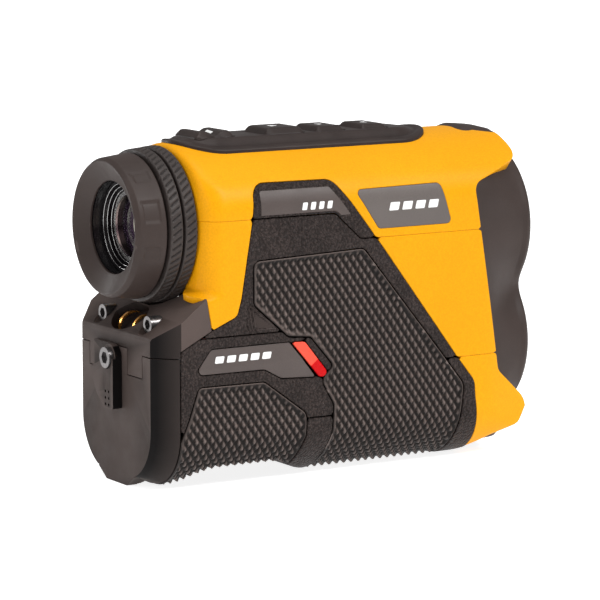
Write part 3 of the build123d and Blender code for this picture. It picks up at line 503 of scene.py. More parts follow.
def make_material(name, colour, dark=0.8, light=1.12, rough=(0.4, 0.55), patch=14.0, grain=0.35,
                  grain_depth=0.02, leather=None, leather_depth=0.08, wear_and_highlight=0.0, hollow_shade=0.0, shade=None,
                  split=None, **shader):
    """Moulded or metal surface: patchy colour, uneven roughness and a fine grain.

    leather gives it a hide of cells that size. wear pales the edges, partly as rubbed edges and partly as a
    painted highlight, and cavity darkens the hollows as a painted shade. shade is (direction, strength, start,
    end): painted shade, darker where
    the surface faces that way. split is (colour, direction, level, half): another colour beyond a plane, over
    a stretch of half either side.
    """
    material, tree, surface = new_material(name)
    links = tree.links
    for key, value in shader.items():
        surface.inputs[key.replace("_", " ")].default_value = value
    coordinates = node(tree, "ShaderNodeTexCoord").outputs["Object"]
    tint = ramped(tree, noise(tree, coordinates, patch, 4.0), 0.3, 0.7,
                  [min(1, c * dark) for c in colour], [min(1, c * light) for c in colour])
    fine = noise(tree, coordinates, grain, 2.0)
    speckle = node(tree, "ShaderNodeMix")
    speckle.data_type, speckle.blend_type = "RGBA", "MULTIPLY"
    speckle.inputs["Factor"].default_value = SPECKLE
    links.new(tint, speckle.inputs["A"])
    links.new(remap(tree, fine, 0.3, 0.7, 0.8, 1.2), speckle.inputs["B"])
    tint = speckle.outputs["Result"]
    # Painted shade: darker where the normal faces the given way.
    if shade:
        way, strength, start, end = shade
        facing = length_along(tree, node(tree, "ShaderNodeTexCoord").outputs["Normal"], way)
        tint = blended(tree, remap(tree, facing, start, end, 0.0, strength), tint, [c * 0.08 for c in colour])
    if split:
        other, way, level, half = split
        place = length_along(tree, coordinates, way)
        beyond = remap(tree, place, (level - half) * MM, (level + half) * MM, 0.0, 1.0)
        tint = blended(tree, beyond, tint, other)
    # Painted shade: darker in hollows, where the pointiness is low.
    if hollow_shade:
        hollow = node(tree, "ShaderNodeNewGeometry").outputs["Pointiness"]
        tint = blended(tree, remap(tree, hollow, 0.40, 0.50, hollow_shade, 0.0), tint, [c * 0.12 for c in colour])
    # Paler edges where the pointiness is high: partly rubbed edges, partly a painted highlight.
    if wear_and_highlight:
        edge = node(tree, "ShaderNodeNewGeometry").outputs["Pointiness"]
        pale = [min(1, c * 2.2 + 0.03) for c in colour]
        tint = blended(tree, remap(tree, edge, 0.52, 0.6, 0.0, wear_and_highlight), tint, pale)
    links.new(tint, surface.inputs["Base Color"])
    polish = noise(tree, coordinates, patch * 0.4, 3.0)
    links.new(remap(tree, polish, 0.3, 0.7, *rough), surface.inputs["Roughness"])
    bump = node(tree, "ShaderNodeBump", Strength=BUMP_STRENGTH, Distance=grain_depth * MM)
    links.new(fine, bump.inputs["Height"])
    if leather:
        cells = node(tree, "ShaderNodeTexVoronoi", Scale=1 / (leather * MM), Randomness=1.0)
        cells.feature = "SMOOTH_F1"
        links.new(coordinates, cells.inputs["Vector"])
        hide = node(tree, "ShaderNodeBump", Strength=1.0, Distance=leather_depth * MM)
        links.new(cells.outputs["Distance"], hide.inputs["Height"])
        tan = node(tree, "ShaderNodeVectorMath")
        tan.operation = "SCALE"
        links.new(tint, tan.inputs[0])
        links.new(remap(tree, cells.outputs["Distance"], 0.12, 0.52, 1.35, 0.5), tan.inputs["Scale"])
        links.new(tan.outputs["Vector"], surface.inputs["Base Color"])
        links.new(hide.outputs["Normal"], bump.inputs["Normal"])
    links.new(bump.outputs["Normal"], surface.inputs["Normal"])
    return material


def make_glass(name, colour):
    """A coated lens: dark tinted glass with a thin coloured film."""
    material, tree, surface = new_material(name)
    for socket, value in (("IOR", 1.52), ("Coat Weight", 1.0), ("Coat Roughness", 0.02),
                          ("Thin Film Thickness", 420.0), ("Thin Film IOR", 1.9)):
        surface.inputs[socket].default_value = value
    haze = noise(tree, node(tree, "ShaderNodeTexCoord").outputs["Object"], 6.0, 2.0)
    tint = ramped(tree, haze, 0.35, 0.65, [c * 0.5 for c in colour], colour)
    tree.links.new(tint, surface.inputs["Base Color"])
    tree.links.new(remap(tree, haze, 0.3, 0.7, 0.02, 0.06), surface.inputs["Roughness"])
    return material


YELLOW = make_material(
    "housing_yellow", (0.755, 0.322, 0.003), dark=0.96, light=1.03, rough=(0.36, 0.46), patch=30,
    grain=0.5, grain_depth=0.012, Specular_IOR_Level=0.09)
RUBBER = make_material(
    "grip_rubber", (0.036, 0.026, 0.0235), dark=0.80, light=1.2, rough=(0.40, 0.52), patch=9,
    grain=0.28, grain_depth=0.06, leather=0.6, leather_depth=0.6, Specular_IOR_Level=0.12)
# Painted shade: the facets that face down and to the rear are darkened by their facing, and the pits between
# the pyramids too; the paler crests are partly a painted highlight.
KNURL = make_material(
    "knurl_rubber", (0.125, 0.096, 0.086), dark=0.88, light=1.15, rough=(0.32, 0.44), patch=12, grain=0.3,
    grain_depth=0.03, wear_and_highlight=0.4, hollow_shade=0.9, shade=((-0.55, 0.0, -0.83), 1.0, -0.62, 0.25),
    Specular_IOR_Level=0.13)
BADGE_GREY = make_material(
    "badge_grey", (0.082, 0.065, 0.060), dark=0.93, light=1.07, rough=(0.34, 0.44), patch=12,
    grain=0.3, grain_depth=0.01, Specular_IOR_Level=0.22)
PLATE_GREY = make_material(
    "plate_grey", (0.120, 0.103, 0.096), dark=0.93, light=1.07, rough=(0.34, 0.44), patch=12,
    grain=0.3, grain_depth=0.01, Specular_IOR_Level=0.24)
RED = make_material(
    "accent_red", (0.86, 0.085, 0.050), dark=0.92, light=1.1, rough=(0.22, 0.3), patch=8, grain=0.3,
    grain_depth=0.005, Specular_IOR_Level=0.10,
    split=((0.52, 0.003, 0.005), (0.62, 0.0, -0.78), -31.9, 0.1))
SATIN_BLACK = make_material(
    "soft_black", (0.042, 0.030, 0.0265), dark=0.88, light=1.12, rough=(0.42, 0.54), patch=16,
    grain=0.2, grain_depth=0.015, wear_and_highlight=0.35, Specular_IOR_Level=0.17)
# Its shade term is painted shade: faces turned to the rear and downward are darker, the door's face most.
MOULDED = make_material(
    "moulded_black", (0.066, 0.048, 0.0425), dark=0.86, light=1.16, rough=(0.42, 0.56), patch=10,
    grain=0.22, grain_depth=0.03, wear_and_highlight=0.3, shade=((-0.8, 0.0, -0.6), 0.62, -0.55, 0.6),
    Specular_IOR_Level=0.07)
# Painted shade for the door's and block's rear-leaning side faces and the latch's sides: near black behind x =
# -54.6, a dark grey in front of it.
SIDE_SHADE = make_material(
    "side_painted_shade", (0.004, 0.003, 0.003), rough=(0.5, 0.62), patch=10, grain=0.22, grain_depth=0.03,
    Specular_IOR_Level=0.10, split=((0.030, 0.023, 0.021), (1, 0, 0), -54.6, 2.2))
# Its hollows are darkened: painted shade in the grooves between the ridges.
RIDGES = make_material(
    "ridged_black", (0.036, 0.028, 0.0255), dark=0.86, light=1.16, rough=(0.42, 0.56), patch=10,
    grain=0.22, grain_depth=0.03, wear_and_highlight=0.3, hollow_shade=0.9, Specular_IOR_Level=0.26)
# Its hollows are darkened: painted shade in the trough and in the scoops round the keys.
KEYPAD = make_material(
    "keypad_rubber", (0.030, 0.0215, 0.0195), dark=0.86, light=1.16, rough=(0.34, 0.48), patch=9,
    grain=0.25, grain_depth=0.015, wear_and_highlight=0.4, hollow_shade=0.5, Specular_IOR_Level=0.15)
CELL_BLACK = make_material(
    "cell_black", (0.008, 0.007, 0.008), rough=(0.16, 0.26), patch=6, grain=0.2, grain_depth=0.01)
WHITE = make_material("printed_white", (0.85, 0.85, 0.84), dark=0.95, light=1.03, rough=(0.4, 0.5), patch=5)
RING = make_material("ring_metal", (0.62, 0.61, 0.60), rough=(0.2, 0.3), Metallic=1.0)
make_material("screw_steel", (0.17, 0.16, 0.16), rough=(0.25, 0.38), patch=3, Metallic=0.9)
make_material("contact_gold", (0.95, 0.42, 0.08), rough=(0.2, 0.32), patch=3, Metallic=0.85)
make_material("insert_brass", (0.70, 0.48, 0.20), rough=(0.25, 0.4), patch=4, Metallic=1.0)
make_material("contact_steel", (0.55, 0.55, 0.55), rough=(0.2, 0.3), patch=3, Metallic=1.0)
make_material("seal_rubber", (0.02, 0.02, 0.02), rough=(0.6, 0.7), patch=5)
make_material("inner_plastic", (0.05, 0.05, 0.05), rough=(0.5, 0.6), patch=8)
make_material("cell_jacket", (0.05, 0.11, 0.30), rough=(0.2, 0.3), patch=8)
make_material("chassis_metal", (0.32, 0.32, 0.33), rough=(0.35, 0.5), patch=8, Metallic=1.0)
make_material("board_green", (0.015, 0.12, 0.04), rough=(0.3, 0.4), patch=5)
make_glass("optical_glass", (0.05, 0.03, 0.055))
FINISHES["housing"] = YELLOW


# --- where each piece of the skin lies ---

def region(points, grow=0.0):
    """A side outline as a field on the housing's surface."""
    def field(along, run):
        x, _, z = surface_xyz(along, run)
        return distance(points, x, z) - grow
    return field


def front_cut(along, run):
    """Where the shells stop and the bezel shows: negative in front."""
    x, y, z = surface_xyz(along, run)
    side = distance(FRONT_SIDE, x, z)
    horn_end = np.where(z > BEZEL_MIDDLE_Z, UPPER_HORN_X, LOWER_HORN_X) - x
    over = np.where(z > BEZEL_MIDDLE_Z, distance(FRONT_CROWN, x, y), distance(FRONT_BELLY, x, y))
    over = np.where((run > CORNER_Z) | (run < FLANK_LOW), over, 8.0)
    return least(least(side, horn_end, 2.4), over, 0.6)


SEAM = 0.13
SHELL_SEAM = 0.02
WEDGE = ((-42.6, 42.9), (8.7, 1.6))
REAR_END = -53.2
upper_edge, lower_edge, grip_area = region(UPPER_EDGE), region(LOWER_EDGE), region(GRIP)


def wedge(along, run):
    """The shells' rear edge beside the rear block, below the shoulder."""
    x, _, z = surface_xyz(along, run)
    (x0, z0), (run_x, run_z) = WEDGE
    slant = ((x0 - x) * run_x + (z0 - z) * run_z) / math.hypot(run_x, run_z)
    return np.where(z < SHOULDER_Z, slant, NO_CUT)


def shell_area(along, run):
    """The yellow shells: clear of the grips, the front and the keypad."""
    x, y, _ = surface_xyz(along, run)
    clear_grip = np.where(run < 100, -grip_area(along, run) + 0.1, NO_CUT)
    keypad = np.where(run > CORNER_Z, -capsule(*KEYPAD_X, KEYPAD_HALF, x, y), NO_CUT)
    front = -front_cut(along, run) + 0.05
    return np.maximum.reduce([clear_grip, front, keypad, wedge(along, run), REAR_END - along])


def capsule(x0, x1, half, x, y):
    """Signed distance to a stadium along X."""
    middle = np.clip(x, x0 + half, x1 - half)
    return np.hypot(x - middle, y) - half


def grid(low, high, step):
    return np.linspace(low, high, int(round((high - low) / step)) + 1)


SKIN_X = grid(-54.0, 61.4, 0.7)


def shell_depth(along, _run):
    """The shells' wall, thicker behind the front edge, where it is seen end on."""
    return 1.8 + 3.4 * ease(40, 48, along)


def build_shells():
    """The three yellow shells, seam to seam."""
    centre = (TOP_END, BELLY_END)
    plate = region(NAME_PLATE)
    areas = {
        "upper_housing": lambda u, v: np.maximum.reduce(
            [shell_area(u, v), upper_edge(u, v) + SHELL_SEAM, -plate(u, v)]),
        "main_housing": lambda u, v: np.maximum.reduce(
            [shell_area(u, v), -upper_edge(u, v) + SHELL_SEAM, -lower_edge(u, v) + SHELL_SEAM]),
        "lower_housing": lambda u, v: np.maximum(shell_area(u, v), lower_edge(u, v) + SHELL_SEAM),
    }
    spans = {
        "upper_housing": (62.0, TOP_END), "main_housing": (27.0, 74.0), "lower_housing": (BELLY_END, 44.0),
    }
    for name, field in areas.items():
        vs = grid(*spans[name], 0.7)
        vertices, faces = sheet_mesh(field, SKIN_X, vs, housing_place, flat_top(0), 0.16, shell_depth,
                                     centre=centre)
        make_piece(name, vertices, faces, YELLOW, "housing", [name], weld=True)


def grip_field(along, run):
    """The rubber, with the pads, badge and accent bar cut out."""
    x, y, z = surface_xyz(along, run)
    area = np.maximum(grip_area(along, run), 0.1 - front_cut(along, run))
    for points, gap in ((MAIN_PAD, 0.32), (REAR_PAD, 0.32), (BADGE, 0.16), (ACCENT, 0.16)):
        cut = region(points, gap)(along, run)
        if gap > 0.2:
            cut = np.maximum(cut, y + PAD_INNER_Y - gap)
        area = np.maximum(area, -cut)
    (start, end), level = STRIP_SEAM
    seam = np.maximum.reduce([np.abs(z - level) - 0.16, start - x, x - end])
    area = np.maximum(area, -seam)
    socket = circle(TRIPOD_HOLE, x, y, TRIPOD_X)
    return np.maximum(area, np.where(run < 0, -socket, NO_CUT))


def grip_top(along, run):
    """The rubber's height: a sunk panel for the generic mark, and a folded hollow below the shell's point."""
    sunk = ease(0.35, -0.35, region(LABEL_PANEL)(along, run))
    fold = ease(0.2, -0.6, region(FOLD)(along, run))
    slant = along + 31.4 + 0.16 * (run - 46)
    rib = 0.35 * ease(0.3, 0.0, np.abs((slant / 0.9 + 0.5) % 1 - 0.5) * 0.9) * ease(2.6, 2.0, slant)
    return 0.15 - 0.28 * sunk + fold * (0.13 * (along + 22.6) - 0.15 + rib)


def build_grips():
    xs = grid(-52.0, 45.5, 0.5)
    right = {
        "upper_grip": (lambda u, v: np.maximum(grip_field(u, v), upper_edge(u, v) + SEAM), (63.0, 84.0)),
        "main_grip": (lambda u, v: np.maximum.reduce(
            [grip_field(u, v), -upper_edge(u, v) + SEAM, -lower_edge(u, v) + SEAM]), (27.0, 73.0)),
    }
    for name, (field, span) in right.items():
        vertices, faces = sheet_mesh(field, xs, grid(*span, 0.5), housing_place, grip_top, 0.3, 0.8)
        both_sides(name, vertices, faces, RUBBER, name)
    field = lambda u, v: np.maximum(grip_field(u, v), lower_edge(u, v) + SEAM)
    vertices, faces = sheet_mesh(field, xs, grid(BELLY_END, 43.0, 0.5), housing_place, grip_top, 0.3, 0.8,
                                 centre=(BELLY_END,))
    make_piece("lower_grip", vertices, faces, RUBBER, "housing", ["lower_grip"], weld=True)


KNURL_X = 2.36
KNURL_Z = 3.36
KNURL_DEPTH = 1.35


def knurl_top(points):
    """Diamond pyramids that fade out at the pad's rim."""
    def top(along, run):
        one, two = along / KNURL_X + run / KNURL_Z, along / KNURL_X - run / KNURL_Z
        rise = np.minimum(np.abs((one % 1) * 2 - 1), np.abs((two % 1) * 2 - 1))
        rise = least(rise, 0.86, 0.08)
        rim = ease(0.3, 1.5, -pad_field(points)(along, run))
        return (0.5 - KNURL_DEPTH + rise * KNURL_DEPTH) * rim + 0.1 * (1 - rim) - 0.08
    return top


def pad_field(points):
    side = region(points)
    return lambda u, v: np.maximum.reduce([side(u, v), surface_xyz(u, v)[1] + PAD_INNER_Y, REAR_X - u])


def build_pads():
    for name, points, x0, x1, low, high in (
        ("main_pad", MAIN_PAD, -31.0, 38.0, -16.0, 62.4), ("rear_pad", REAR_PAD, -52.0, -12.0, -16.0, 29.0),
    ):
        us, vs = grid(x0, x1, KNURL_X / 7), grid(low, high, KNURL_Z / 10)
        vertices, faces = sheet_mesh(pad_field(points), us, vs, housing_place, knurl_top(points), 0.25, 0.8,
                                     closed=False)
        both_sides(name, vertices, faces, KNURL, name)


def inlay(name, points, material, top, x_span, z_span, step=0.3, edge=0.2, depth=0.7):
    us, vs = grid(*x_span, step), grid(*z_span, step)
    vertices, faces = sheet_mesh(region(points, -0.06), us, vs, housing_place, top, edge, depth)
    both_sides(name, vertices, faces, material, name)


def badge_top(along, run):
    """Two facets: the upper one leans back, the lower one in."""
    fold = run - (33.0 + 0.02 * (along + 30))
    return 0.22 - 0.05 * np.maximum(fold, 0) + 0.10 * np.minimum(fold, 0)


def accent_top(_along, run):
    """Flat above, and leaning in below."""
    across = (run - 30.6) * 0.8
    return 0.24 - 0.10 * np.maximum(-across, 0)


def mark(name, field, x_span, z_span, base, material=None):
    """A printed mark: a thin raised film on the housing."""
    vertices, faces = sheet_mesh(field, grid(*x_span, 0.16), grid(*z_span, 0.16), housing_place,
                                 lambda u, v: base(u, v) + 0.05, 0.04, lambda u, v: -base(u, v), steps=2)
    both_sides(name, vertices, faces, material or WHITE)


def slanted_bar(x0, x1, z0, z1, lean):
    def field(along, run):
        x, _, z = surface_xyz(along, run)
        return rectangle(x0, x1, z0, z1, 0.25, x - lean * (z - z0), z)
    return field


def joined(*fields):
    return lambda u, v: np.minimum.reduce([field(u, v) for field in fields])


def build_inlays():
    inlay("badge", BADGE, BADGE_GREY, badge_top, (-48, -9.5), (27, 39))
    inlay("accent", ACCENT, RED, accent_top, (-20, -5), (26.5, 39))
    inlay("name_plate", NAME_PLATE, PLATE_GREY, flat_top(0.05), (1, 34), (65, 80.5),
          0.4, 0.15, 0.5)
    dashes = [slanted_bar(x, x + 2.6, 34.2, 36.0, 0.25) for x in (-42.0, -38.4, -34.8, -31.2, -27.6)]
    mark("badge_mark", joined(*dashes), (-43, -23), (33.6, 36.6), badge_top)
    plate_dashes = [slanted_bar(x, x + 3.0, 71.2, 73.4, 0.25) for x in (12.4, 16.6, 20.8, 25.0)]
    mark("plate_mark", joined(*plate_dashes), (11, 30), (70.2, 74.4), flat_top(0.05))
    tick = [slanted_bar(x, x + 1.5, 73.0, 75.0, 0.25) for x in (-15.0, -12.4, -9.8, -7.2)]
    panel = lambda u, v: np.maximum(region(LABEL_PANEL, -0.25)(u, v), upper_edge(u, v) + 0.8)
    mark("grip_panel", panel, (-28, 3.6), (71, 84), grip_top, BADGE_GREY)
    mark("grip_mark", joined(*tick), (-16, -4), (72.4, 75.6), lambda u, v: grip_top(u, v) + 0.05)
    mark("grip_fold", region(FOLD, -0.1), (-33, -22), (41, 50), grip_top, SATIN_BLACK)


# --- front bezel ---

UPPER_LOBE = (64.0, 22.5)
LOWER_LOBE = (30.6, 21.9)
WAIST_FILL = 8.0
CREST = ((43.0, 50.0, 55.0, 61.5), (90.2, 90.95, 90.5, 88.9), 4.0, 11.5, 1)
CHIN = ((44.0, 49.0, 56.0, 61.5), (1.2, 2.2, 3.2, 7.0), 10.5, 15.5, -1)
BORES = ((63.0, 12.5), (30.0, 10.8))


def lobe_radius(angle):
    """The figure of eight round the two lenses, its waist filled to a soft curve."""
    low, high = np.zeros(np.shape(angle)), np.full(np.shape(angle), 60.0)
    for _ in range(30):
        reach = (low + high) / 2
        y, z = reach * np.cos(angle), BEZEL_MIDDLE_Z + reach * np.sin(angle)
        ends = [circle(radius, y, z, 0.0, centre) for centre, radius in (UPPER_LOBE, LOWER_LOBE)]
        outside = least(*ends, WAIST_FILL) > 0
        low, high = np.where(outside, low, reach), np.where(outside, reach, high)
    return low


section_runs = np.linspace(BELLY_END, TOP_END, 400)
section_y, section_z = section(section_runs)[:2]
section_angles = np.arctan2(section_z - BEZEL_MIDDLE_Z, -section_y)
section_reach = np.hypot(section_y, section_z - BEZEL_MIDDLE_Z)


def bezel_radius(angle, x):
    """From the bezel's middle to its surface: the housing's section behind, the two lobes in front."""
    blend = ease(41.0, 61.5, x)
    across = np.arctan2(np.sin(angle), np.abs(np.cos(angle)))
    housing = np.interp(across, section_angles, section_reach) - 0.4
    reach = (1 - blend) * housing + blend * lobe_radius(angle)
    out, up = np.abs(reach * np.cos(angle)), np.sin(angle)
    for ends, heights, near, far, sign in (CREST, CHIN):
        level = sign * (np.interp(x, ends, heights) - BEZEL_MIDDLE_Z) - 0.012 * out**2 * (sign > 0)
        weight = ease(far, near, out) * (sign * up > 0) * ease(ends[0], ends[1], x)
        reach = reach + weight * (level / np.maximum(np.abs(up), 0.3) - reach)
    return reach


def bezel_rim(y, z):
    """Roughly the distance to the front rim, and the distance to the nearer bore."""
    angle = np.arctan2(z - BEZEL_MIDDLE_Z, y)
    outer = np.hypot(y, z - BEZEL_MIDDLE_Z) - bezel_radius(angle, BEZEL_FRONT_X)
    bores = np.minimum.reduce([circle(radius, y, z, 0.0, centre) for centre, radius in BORES])
    return outer, bores


def bezel_rows(y, z):
    """The sides: back along the bores for their rims, out over the loft for the outer one."""
    angle = np.arctan2(z - BEZEL_MIDDLE_Z, y)
    outer, bores = bezel_rim(y, z)
    at_bore = np.abs(bores) < np.abs(outer)
    rows = []
    for step in range(1, 25):
        x = BEZEL_FRONT_X - 2.0 - 0.84 * step
        reach = bezel_radius(angle, x)
        out, up = reach * np.cos(angle), BEZEL_MIDDLE_Z + reach * np.sin(angle)
        up = np.where(np.abs(out) > 14, np.maximum(up, np.interp(x, *belly_line.T) + 0.2), up)
        side = np.stack([np.full(len(y), x), out, up], -1)
        back = np.stack([np.full(len(y), BEZEL_FRONT_X - 2.0 - 0.3 * step), y, z], -1)
        rows.append(np.where(at_bore[:, None], back, side))
    return rows


def build_bezel():
    def field(y, z):
        outer, bores = bezel_rim(y, z)
        return np.maximum(outer, -bores)
    place = lambda y, z, height: np.stack([BEZEL_FRONT_X + height, y, z], -1)
    vertices, faces = sheet_mesh(field, grid(-24, 24, 0.8), grid(8, 88, 0.8), place, flat_top(0), 2.0, 8.0,
                                 rows=bezel_rows, steps=6)
    make_piece("front_bezel", vertices, faces, SATIN_BLACK, "housing", ["front_bezel"])


# --- eyepiece ---

LATHE_STEP = 0.25
# (degrees round the cup, half length)
CUP_MARKS = ((163, 2.6), (131, 1.5), (197, 1.8), (17, 2.6))


def lathe(name, profile, material, body, replaced, segments=240, shape=None):
    """A ring about the eye axis from a closed (x, radius, corner radius) profile, moved by shape."""
    line = rounded(profile)
    dense = []
    for (x0, r0), (x1, r1) in zip(line, np.roll(line, -1, axis=0)):
        count = max(1, int(math.hypot(x1 - x0, r1 - r0) / LATHE_STEP))
        dense += [(x0 + (x1 - x0) * k / count, r0 + (r1 - r0) * k / count) for k in range(count)]
    dense = np.array(dense)
    angles = np.linspace(0, 2 * math.pi, segments, endpoint=False)
    x, angle = np.meshgrid(dense[:, 0], angles, indexing="ij")
    radius = np.broadcast_to(dense[:, 1][:, None], x.shape)
    if shape is not None:
        radius = radius + shape(x, radius, angle)
    points = np.stack([x, radius * np.cos(angle), EYE_Z + radius * np.sin(angle)], -1).reshape(-1, 3)
    rows = len(dense)
    faces = [[i * segments + j, i * segments + (j + 1) % segments,
              (i + 1) % rows * segments + (j + 1) % segments, (i + 1) % rows * segments + j]
             for i in range(rows) for j in range(segments)]
    area = np.sum(dense[:, 0] * np.roll(dense[:, 1], -1) - np.roll(dense[:, 0], -1) * dense[:, 1])
    if area > 0:
        faces = [face[::-1] for face in faces]
    return make_piece(name, points, faces, material, body, replaced)


def cup_shape(x, radius, angle):
    """Sunk index marks round the outside of the eyecup, each with a deeper line along its top."""
    outside = ease(17.6, 18.3, radius)
    total = np.zeros(x.shape)
    for degrees, half in CUP_MARKS:
        across = ((angle - math.radians(degrees) + math.pi) % (2 * math.pi) - math.pi) * 19
        total -= 0.26 * ease(0.12, -0.12, rectangle(-58.8, -54.4, -half, half, 0.4, x, across))
        total -= 0.35 * ease(0.12, -0.12, rectangle(-59.4, -54.2, -half - 0.35, -half + 0.15, 0.2, x, across))
    return total * outside


def ridged(x0, x1, outer, count, depth, lean):
    """Slanted ridges over the outside of a ring."""
    def shape(x, radius, angle):
        outside = ease(outer - 1.2, outer - 0.3, radius)
        phase = (angle * count / (2 * math.pi) + lean * (x - x0) / (x1 - x0)) % 1
        groove = ease(0.0, 0.42, np.abs(phase - 0.5) * 2)
        inside = ease(x0 + 0.2, x0 + 0.8, x) * ease(x1 - 0.2, x1 - 0.8, x)
        return -depth * (1 - groove) * outside * inside
    return shape


RIDGE_COUNT = 66
RIDGE_DEPTH = 0.6
RIDGE_LEAN = 1.25
BARREL_STEPS = ((-55.2, 11.4), (-54.4, 10.6), (-53.6, 9.8))


def build_eyepiece():
    lathe("eyecup", [
        (-61.5, 17.7, 0.35), (-60.2, 18.6, 0.8), (-52.7, 19.5, 0.5), (-52.7, 16.7, 0.3), (-48.9, 16.6, 0.2),
        (-48.9, 15.25, 0.2), (-58.1, 15.25, 0.1), (-58.1, 12.4, 0.15), (-58.7, 12.4, 0.25), (-61.1, 16.9, 0.5),
    ], SATIN_BLACK, "eyecup", ["eyecup"], shape=cup_shape)
    for name, x0, x1, bore, outer, corner in (
        ("eyecup_ring", -52.1, -48.6, 16.85, 20.4, 0.5), ("diopter_ring", -48.0, -44.5, 15.25, 20.8, 0.6),
    ):
        profile = [(x0, bore, 0), (x0, outer, 0.5), (x1, outer + 0.3, corner), (x1, bore, 0)]
        ridges = ridged(x0, x1, outer + 0.1, RIDGE_COUNT, RIDGE_DEPTH, RIDGE_LEAN)
        lathe(name, profile, RIDGES, name, [name], 600, ridges)
    for count, (x, radius) in enumerate(BARREL_STEPS, 1):
        lathe(f"ocular_step_{count}", [
            (x - 0.10, radius, 0), (x - 0.10, radius + 0.16, 0.05), (x + 0.05, radius + 0.16, 0),
            (x + 0.05, radius, 0),
        ], RING, "ocular", (), 120)


# --- keypad ---

KEYS = {
    "power": (-36.5, -24.5, 93.25), "mode": (-15.5, -2.5, 93.2), "up": (0.6, 10.4, 92.9),
    "down": (15.0, 24.4, 92.75),
}
KEY_WIDTH = 6.6


def crown_z(y):
    return CROWN_CENTRE_Z + np.sqrt(CROWN_RADIUS**2 - y**2)


def pad_height(x, y):
    """The surround's top: a raised rim, a shallow trough and a flat island with scoops between the keys."""
    rim = capsule(*KEYPAD_X, KEYPAD_HALF, x, y)
    island = capsule(-39.8, 33.5, 8.6, x, y)
    top = crown_z(y) + 0.95 - 0.45 * ease(-1.4, -2.6, rim)
    flat = 91.65 - 0.5 * ease(26, 35, x) - 1.2 * ease(-36, -42, x)
    return top + (flat - top) * ease(1.6, -1.6, island)


def build_keypad():
    holes = [(x0 - 0.3, x1 + 0.3) for x0, x1, top in KEYS.values()]

    def field(x, y):
        area = capsule(*KEYPAD_X, KEYPAD_HALF, x, y)
        for x0, x1 in holes:
            area = np.maximum(area, -rectangle(x0, x1, -KEY_WIDTH - 0.3, KEY_WIDTH + 0.3, 2.2, x, y))
        return area

    def place(x, y, height):
        return np.stack([x, y, pad_height(x, y) + height], -1)

    vertices, faces = sheet_mesh(field, grid(-42.5, 38, 0.5), grid(-12.5, 12.5, 0.5), place, flat_top(0),
                                 0.45, 1.6, closed=False)
    make_piece("keypad_surround", vertices, faces, KEYPAD, "housing", ["keypad_surround"])
    for name, (x0, x1, top) in KEYS.items():
        build_key(name, x0, x1, top)


def key_height(name, x0, x1, top):
    """A key's top: sloping sides, and a valley across the first one."""
    def height(x, y):
        area = rectangle(x0, x1, -KEY_WIDTH, KEY_WIDTH, 1.6, x, y)
        rise = top - 1.5 * ease(-1.9, 0.2, area)
        if name == "power":
            rise = rise - 1.3 * np.exp(-((x - (x0 + x1) / 2) / 1.7) ** 2)
        if name == "mode":
            rise = rise - 0.5 * ease(3.0, 0.0, x - x0)
        return rise
    return height


def build_key(name, x0, x1, top):
    field = lambda x, y: rectangle(x0, x1, -KEY_WIDTH, KEY_WIDTH, 1.8, x, y)
    height = key_height(name, x0, x1, top)
    place = lambda x, y, lift: np.stack([x, y, height(x, y) + lift], -1)
    xs, ys = grid(x0, x1, 0.3), grid(-KEY_WIDTH, KEY_WIDTH, 0.3)
    vertices, faces = sheet_mesh(field, xs, ys, place, flat_top(0), 0.35, 2.6)
    make_piece(f"{name}_button", vertices, faces, KEYPAD, f"{name}_key", [f"{name}_button"])
    centre = (x0 + x1) / 2
    shapes = {
        "power": lambda x, y: np.maximum(
            np.abs(np.abs(x - centre) - 1.2 - (y + 2) * 0.1) - 0.35, np.abs(y) - 1.9),
        "mode": lambda x, y: np.maximum(np.abs(y) * 0.9 + (x - centre - 1.2) * 0.5, centre - 1.4 - x),
        "up": lambda x, y: np.maximum(np.abs(y) * 0.8 + (x - centre - 1.0) * 0.6, centre - 0.8 - x),
        "down": lambda x, y: np.maximum(np.abs(y) * 0.8 - (x - centre + 1.0) * 0.6, x - centre - 0.8),
    }
    xs, ys = grid(centre - 3.2, centre + 3.2, 0.12), grid(-2.6, 2.6, 0.12)
    vertices, faces = sheet_mesh(shapes[name], xs, ys, place, flat_top(0.05), 0.04, 0.05, steps=2)
    make_piece(f"{name}_symbol", vertices, faces, WHITE, f"{name}_key", ())


# --- carried-over CAD pieces ---

SOFT_EDGES = {
    "rear_block": 0.45, "battery_door": 0.45, "door_latch": 0.3, "latch_screw": 0.15, "block_screws": 0.15,
    "contact_leaves": 0.06, "eyepiece_tube": 0.2, "ocular_cell": 0.12, "ocular_ring": 0.1,
    "objective_cell": 0.15, "receiver_cell": 0.15, "door_contact": 0.1, "tripod_insert": 0.2,
    "hinge_pin": 0.1, "battery_holder": 0.3, "optical_chassis": 0.3, "laser_module": 0.3,
    "receiver_module": 0.3, "display_module": 0.3, "roof_prism": 0.2, "chassis_screws": 0.15,
    "cell_right": 0.3, "cell_left": 0.3,
}


